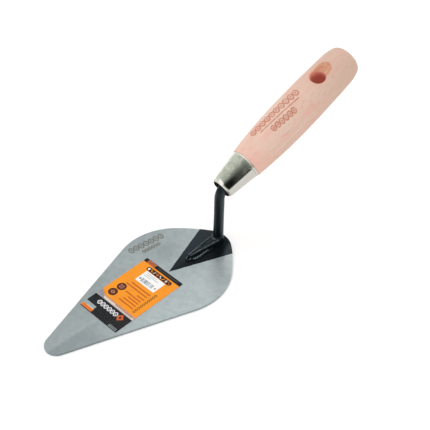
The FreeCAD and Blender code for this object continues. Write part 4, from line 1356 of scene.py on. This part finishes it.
def printed_plate(name, outline, art, centre, cad_name, stock):
    """Closed plate as thick as its CAD piece; its top is cut into the printed shapes."""
    low, high = node_box(cad_name)
    stock = srgb(*stock)
    points, edges = [], []
    for ring in [outline] + [ring for ring, _ in art.shapes]:
        k = len(points)
        points += [Vector(p) for p in ring]
        edges += [(k + i, k + (i + 1) % len(ring)) for i in range(len(ring))]
    flat, _, triangles, _, _, _ = delaunay_2d_cdt(points, edges, [], 0, 1e-5)
    boxes = [(*np.min(ring, 0), *np.max(ring, 0)) for ring, _ in art.shapes]
    top, top_ink = [], []
    for t in triangles:
        cx = sum(flat[i].x for i in t) / 3
        cy = sum(flat[i].y for i in t) / 3
        if not inside(outline, cx, cy):
            continue
        ink = stock
        for (ring, colour), (x0, y0, x1, y1) in zip(art.shapes, boxes):
            if x0 <= cx <= x1 and y0 <= cy <= y1 and inside(ring, cx, cy):
                ink = colour
        a = flat[t[0]]
        if (flat[t[1]] - a).cross(flat[t[2]] - a) < 0:
            t = t[::-1]
        top.append(list(t))
        top_ink.append(ink)
    edge_ink = {(t[i], t[(i + 1) % 3]): ink for t, ink in zip(top, top_ink) for i in range(3)}
    border = [edge for edge in edge_ink if edge[::-1] not in edge_ink]

    c, s = math.cos(PRINT_TURN), math.sin(PRINT_TURN)
    placed = [(centre[0] + p.x * c - p.y * s, centre[1] + p.x * s + p.y * c) for p in flat]
    verts = [(x, y, z) for z in (high[2], low[2] + PRINT_GAP) for x, y in placed]
    n = len(flat)
    faces = (top + [[i + n for i in t[::-1]] for t in top]
             + [[b, a, a + n, b + n] for a, b in border])
    inks = top_ink + [stock] * len(top) + [edge_ink[edge] for edge in border]
    used = sorted({i for face in faces for i in face})
    renumber = {old: new for new, old in enumerate(used)}
    obj = mesh_object(name, [verts[i] for i in used],
                      [[renumber[i] for i in face] for face in faces], smooth=False)
    attribute = obj.data.color_attributes.new("ink", "FLOAT_COLOR", "CORNER")
    data = np.ones((len(obj.data.loops), 4), np.float32)
    for face, ink in zip(obj.data.polygons, inks):
        for corner in face.loop_indices:
            data[corner] = ink
    attribute.data.foreach_set("color", data.ravel())
    return obj


ORANGE, DARK_ORANGE = (248, 151, 22), (198, 98, 20)
BLACK, BROWN, WHITE = (13, 19, 25), (62, 26, 14), (246, 246, 244)
CREAM, RUST, FADED = (222, 206, 194), (196, 104, 58), (186, 128, 104)
LABEL_CENTRE = (-1.16, -75.0)
LABEL_X, LABEL_Y = 34.2 / 2, 58.5 / 2          # half width and half length


def heel_band(art):
    """Black band at the heel end and a rounded strip of pictograms below it."""
    left, top = -LABEL_X, LABEL_Y
    art.rect(left, top - 3.3, LABEL_X, top, BLACK)
    art.rect(left + 2.8, top - 3.1, left + 10.0, top - 0.35, RUST)
    art.row(5, 1.25, left + 3.6, top - 2.3, left + 4.3, top - 1.2, (120, 58, 34))
    art.row(12, 1.55, left + 12.5, top - 1.9, left + 13.5, top - 1.35, (84, 78, 72))
    strip = top - 4.4
    art.rect(-10.4, strip - 3.5, 12.2, strip, BROWN, radius=1.7)
    for k in range(8):
        cx, cy = -8.6 + k * 2.7, strip - 1.75
        rgb = (WHITE, ORANGE, CREAM, RUST)[k % 4]
        if k % 3 == 0:
            art.lozenge(cx, cy, 1.0, 1.3, rgb)
        elif k % 3 == 1:
            art.disc(cx - 0.5, cy + 0.55, 0.5, 0.5, 28, rgb)
            art.disc(cx + 0.5, cy - 0.55, 0.5, 0.5, 28, rgb)
        else:
            slash = ((-1.05, -0.95), (-0.35, -0.95), (1.05, 0.95), (0.35, 0.95))
            art.shape([(cx + x, cy + y) for x, y in slash], rgb)


def orange_field(art):
    """Ragged rules, two round icons and a row of small rings."""
    # columns: start x, end x, middle y
    for x0, x1, y in ((-7.7, 9.8, 7.0), (-10.1, 9.5, 4.4), (3.3, 10.0, 1.5),
                      (-4.9, 9.5, -1.0), (-0.1, 9.7, -3.3), (-1.8, 9.9, -5.8),
                      (-2.9, 10.3, -8.4)):
        art.rect(x0, y - 0.52, x1, y + 0.52, DARK_ORANGE)
    for cx, cy, dotted in ((-9.6, -0.2, True), (-10.3, -7.2, False)):
        art.disc(cx, cy, 3.25, 3.25, 40, BROWN)
        art.disc(cx, cy, 2.7, 2.7, 36, (92, 36, 16))
        if dotted:
            for k in range(4):
                t = math.pi * (0.25 + 0.5 * k)
                art.disc(cx + 1.25 * math.cos(t), cy + 1.25 * math.sin(t), 0.66, 0.66, 18, FADED)
        else:
            art.lozenge(cx, cy, 1.9, 1.5, FADED)
            art.lozenge(cx, cy, 0.8, 0.6, BROWN)
    for k in range(10):
        cy = 9.6 - k * 2.12
        art.disc(12.3, cy, 1.02, 0.92, 22, (96, 58, 30))
        art.disc(12.3, cy, 0.56, 0.50, 18, ORANGE)


def pale_strip(art):
    """Pale strip with worn ticks between the orange field and the black block."""
    left, right = -LABEL_X, LABEL_X
    art.rect(left, -14.9, right, -13.1, CREAM)
    art.rect(left, -13.3, right, -12.1, (206, 142, 100))
    art.rect(8.0, -14.0, right, -12.6, (204, 160, 148))
    art.row(11, 1.45, -0.4, -14.3, 0.5, -12.9, (174, 118, 100))
    art.rect(left, -15.4, right, -14.9, (176, 172, 168))
    art.shape([(left, -14.6), (left + 7.0, -15.4), (left + 5.2, -12.9), (left, -9.9)],
              (142, 144, 156))


def black_block(art):
    """Black block at the tip end: a plait, a large lozenge and corner marks."""
    left, bottom = -LABEL_X, -LABEL_Y
    art.rect(left, bottom, LABEL_X, -15.4, BLACK)
    band, start, eye, eyes, swing, half_stroke = -19.0, -11.0, 3.03, 6, 1.55, 0.35
    for sign in (1, -1):
        upper, lower = [], []
        for k in range(73):
            x = start + eye * eyes * k / 72
            phase = math.pi * (x - start) / eye
            y = band + sign * swing * math.sin(phase)
            slope = sign * swing * math.pi / eye * math.cos(phase)
            length = math.hypot(1.0, slope)
            dx, dy = slope / length * half_stroke, half_stroke / length
            upper.append((x - dx, y + dy))
            lower.append((x + dx, y - dy))
        art.shape(upper + lower[::-1], (222, 222, 226))
    for k in range(eyes):
        art.lozenge(start + eye * (k + 0.5), band, 0.55, 0.57, (214, 214, 220))
    art.lozenge(9.9, band, 2.8, 3.0, (214, 94, 42))
    art.lozenge(9.9, band, 1.0, 1.2, BLACK)
    # coloured bars at the -X corner, ticks at the +X corner
    art.rect(left, bottom + 3.0, left + 9.5, bottom + 5.9, (150, 165, 165))
    art.rect(left + 3.5, bottom + 3.0, left + 9.5, bottom + 3.5, (196, 206, 206))
    art.rect(left, bottom + 0.55, left + 9.9, bottom + 3.0, (240, 128, 36))
    art.row(6, 1.25, left + 1.8, bottom + 1.35, left + 2.5, bottom + 2.2, (196, 88, 30))
    art.row(6, 1.2, 9.2, bottom + 0.3, 9.75, bottom + 2.6, (150, 158, 160))


def build_label():
    art = Artwork()
    left = -LABEL_X
    art.rect(left, -13.2, LABEL_X, LABEL_Y - 3.3, ORANGE)
    # deeper orange wedge in the -X corner of the field
    art.shape([(left, -13.2), (left + 5.5, -13.2), (left + 4.2, -10.4), (left, -9.6)],
              (232, 128, 34))
    heel_band(art)
    orange_field(art)
    pale_strip(art)
    black_block(art)
    outline = rectangle(left, -LABEL_Y, LABEL_X, LABEL_Y, radius=0.8, parts=8)
    label = printed_plate("blade_label_print", outline, art, LABEL_CENTRE, "blade_label",
                          ORANGE)
    fit(label, LABEL_STOCK, "blade_label")


def build_sticker():
    """Small white sticker: upright bars, three grey rules and two dots."""
    half_x, half_y = 17.4 / 2, 10.7 / 2
    art = Artwork()
    rng = np.random.RandomState(5)
    x = -5.6
    while x < 5.2:
        width = rng.choice([0.22, 0.34, 0.5])
        art.rect(x, -4.0, x + width, -0.6, (70, 84, 100))
        x += width + rng.choice([0.26, 0.4, 0.62])
    for k, end in enumerate((2.0, 4.4, -1.2)):
        art.rect(-7.2, 3.9 - k * 1.35, end, 4.3 - k * 1.35, (150, 156, 160))
    art.disc(-7.0, -2.2, 0.75, 0.9, 18, (120, 130, 138))
    art.disc(6.9, -2.2, 0.6, 0.9, 18, (140, 148, 154))
    outline = rectangle(-half_x, -half_y, half_x, half_y, radius=0.5)
    sticker = printed_plate("blade_sticker_print", outline, art, (-1.42, -59.37),
                            "printed_sticker", WHITE)
    fit(sticker, STICKER_STOCK, "printed_sticker")


build_label()
build_sticker()


# ----------------------------------------------------------------------------
# studio, in metres: pale floor, soft surround, one large soft lamp, camera
# ----------------------------------------------------------------------------
def grey(value):
    return (value, value, value, 1.0)


def floor_paper():
    """White paper with a faint glow, clear from below."""
    m = Material("floor_paper")
    tone = m.noise(m.mm, rates=0.004, detail=2.0)
    paper = m.signal("ShaderNodeBsdfDiffuse", {"Color": m.mix(tone, grey(0.955), grey(0.975))})
    glow = m.signal("ShaderNodeEmission", {"Color": grey(1.0), "Strength": 0.13})
    paper = m.signal("ShaderNodeAddShader", {0: paper, 1: glow})
    clear = m.signal("ShaderNodeBsdfTransparent")
    below = m.signal("ShaderNodeNewGeometry", None, "Backfacing")
    surface = m.signal("ShaderNodeMixShader", {0: below, 1: paper, 2: clear})
    m.node("ShaderNodeOutputMaterial", {"Surface": surface})
    return m.material


def build_floor():
    half, z = 6.0, -0.0002
    mesh = bpy.data.meshes.new("studio_floor")
    mesh.from_pydata([(-half, -half, z), (half, -half, z), (half, half, z), (-half, half, z)],
                     [], [(0, 1, 2, 3)])
    floor = bpy.data.objects.new("studio_floor", mesh)
    scene.collection.objects.link(floor)
    mesh.materials.append(floor_paper())


def reflected_surround(w, direction):
    """What glossy surfaces see: bright overhead and on -X, dark on the +X side."""
    # columns: degrees round the handle axis from up towards +X, brightness
    stops = [(-180, 0.8), (-120, 0.85), (-75, 0.74), (-40, 0.66), (-18, 0.60), (2, 0.44),
             (18, 0.20), (34, 0.085), (55, 0.04), (80, 0.05), (100, 0.15), (140, 0.55),
             (180, 0.8)]
    angle = w.math("ARCTAN2", w.dot(direction, ACROSS), w.dot(direction, HANDLE_UP))
    node = w.node("ShaderNodeValToRGB", {0: angle / (2 * math.pi) + 0.5})
    elements = node.color_ramp.elements
    while len(elements) < len(stops):
        elements.new(0.5)
    for element, (degrees, value) in zip(elements, stops):
        element.position = degrees / 360.0 + 0.5
        element.color = grey(value)
    surround = Signal(w, node.outputs[0])
    # brighter caps beyond both ends of the handle axis
    bladewards = w.dot(direction, -HANDLE_AXIS)
    surround = w.mix(w.step(bladewards, 0.36, 0.56, 0.0, 0.8), surround, grey(0.62))
    surround = w.mix(w.step(bladewards, 0.72, 0.94), surround, grey(1.0))
    buttwards = w.dot(direction, HANDLE_AXIS)
    return w.mix(w.step(buttwards, 0.86, 0.96), surround, (1.25, 1.25, 1.2, 1.0))


def build_world():
    world = bpy.data.worlds.new("studio")
    scene.world = world
    world.use_nodes = True
    w = Tree(world.node_tree)
    direction = w.vector("NORMALIZE", w.signal("ShaderNodeTexCoord", None, "Generated"))
    # diffuse light: even, more from above on the -X side and from the camera
    overhead = w.math("MAXIMUM", w.dot(direction, (-0.42, 0.12, 0.90)), 0.0)
    camera_side = w.math("MAXIMUM", w.dot(direction, (0.535, -0.497, 0.683)), 0.0)
    level = 0.60 + overhead * 0.36 + camera_side * 0.30
    diffuse = w.signal("ShaderNodeCombineColor", {0: level, 1: level, 2: level})
    rays = w.node("ShaderNodeLightPath").outputs
    colour = w.mix(Signal(w, rays["Is Glossy Ray"]), diffuse, reflected_surround(w, direction))
    colour = w.mix(Signal(w, rays["Is Camera Ray"]), colour, grey(1.0))
    background = w.signal("ShaderNodeBackground", {"Color": colour, "Strength": 1.0})
    w.node("ShaderNodeOutputWorld", {"Surface": background})


def build_lamp():
    light = bpy.data.lights.new("soft_lamp", "AREA")
    light.shape = "DISK"
    light.size = 0.9
    light.energy = 1.8
    lamp = bpy.data.objects.new("soft_lamp", light)
    scene.collection.objects.link(lamp)
    lamp.location = (-0.55, 0.15, 1.15)
    target = Vector((0, 0, 0.03))
    lamp.rotation_mode = "QUATERNION"
    lamp.rotation_quaternion = (target - lamp.location).to_track_quat("-Z", "Y")
    lamp.visible_glossy = False


def build_camera():
    """Level camera, moved to its own left and up from the line to its target."""
    bearing, dip = 3.96448011776196, 0.7526633643091031      # radians
    distance = 0.75612353483635
    moved_left, moved_up = 0.006580797664, 0.014808423896
    target = Vector((0.0, 0.006, 0.0))
    data = bpy.data.cameras.new("camera")
    data.sensor_width = 36.0
    data.lens = 92.89294209
    data.clip_start, data.clip_end = 0.02, 20.0
    camera = bpy.data.objects.new("camera", data)
    scene.collection.objects.link(camera)
    scene.camera = camera
    right = Vector((-math.cos(bearing), -math.sin(bearing), 0.0))
    forward = Vector((math.sin(bearing) * math.cos(dip), -math.cos(bearing) * math.cos(dip),
                      -math.sin(dip)))
    up = right.cross(forward)
    camera.location = target - forward * distance - right * moved_left + up * moved_up
    camera.rotation_mode = "QUATERNION"
    camera.rotation_quaternion = Matrix((right, up, -forward)).transposed().to_quaternion()


build_floor()
build_world()
build_lamp()
build_camera()
scene.view_settings.view_transform = "Standard"
scene.view_settings.look = "None"
scene.view_settings.exposure = 0.0
scene.view_settings.gamma = 1.0
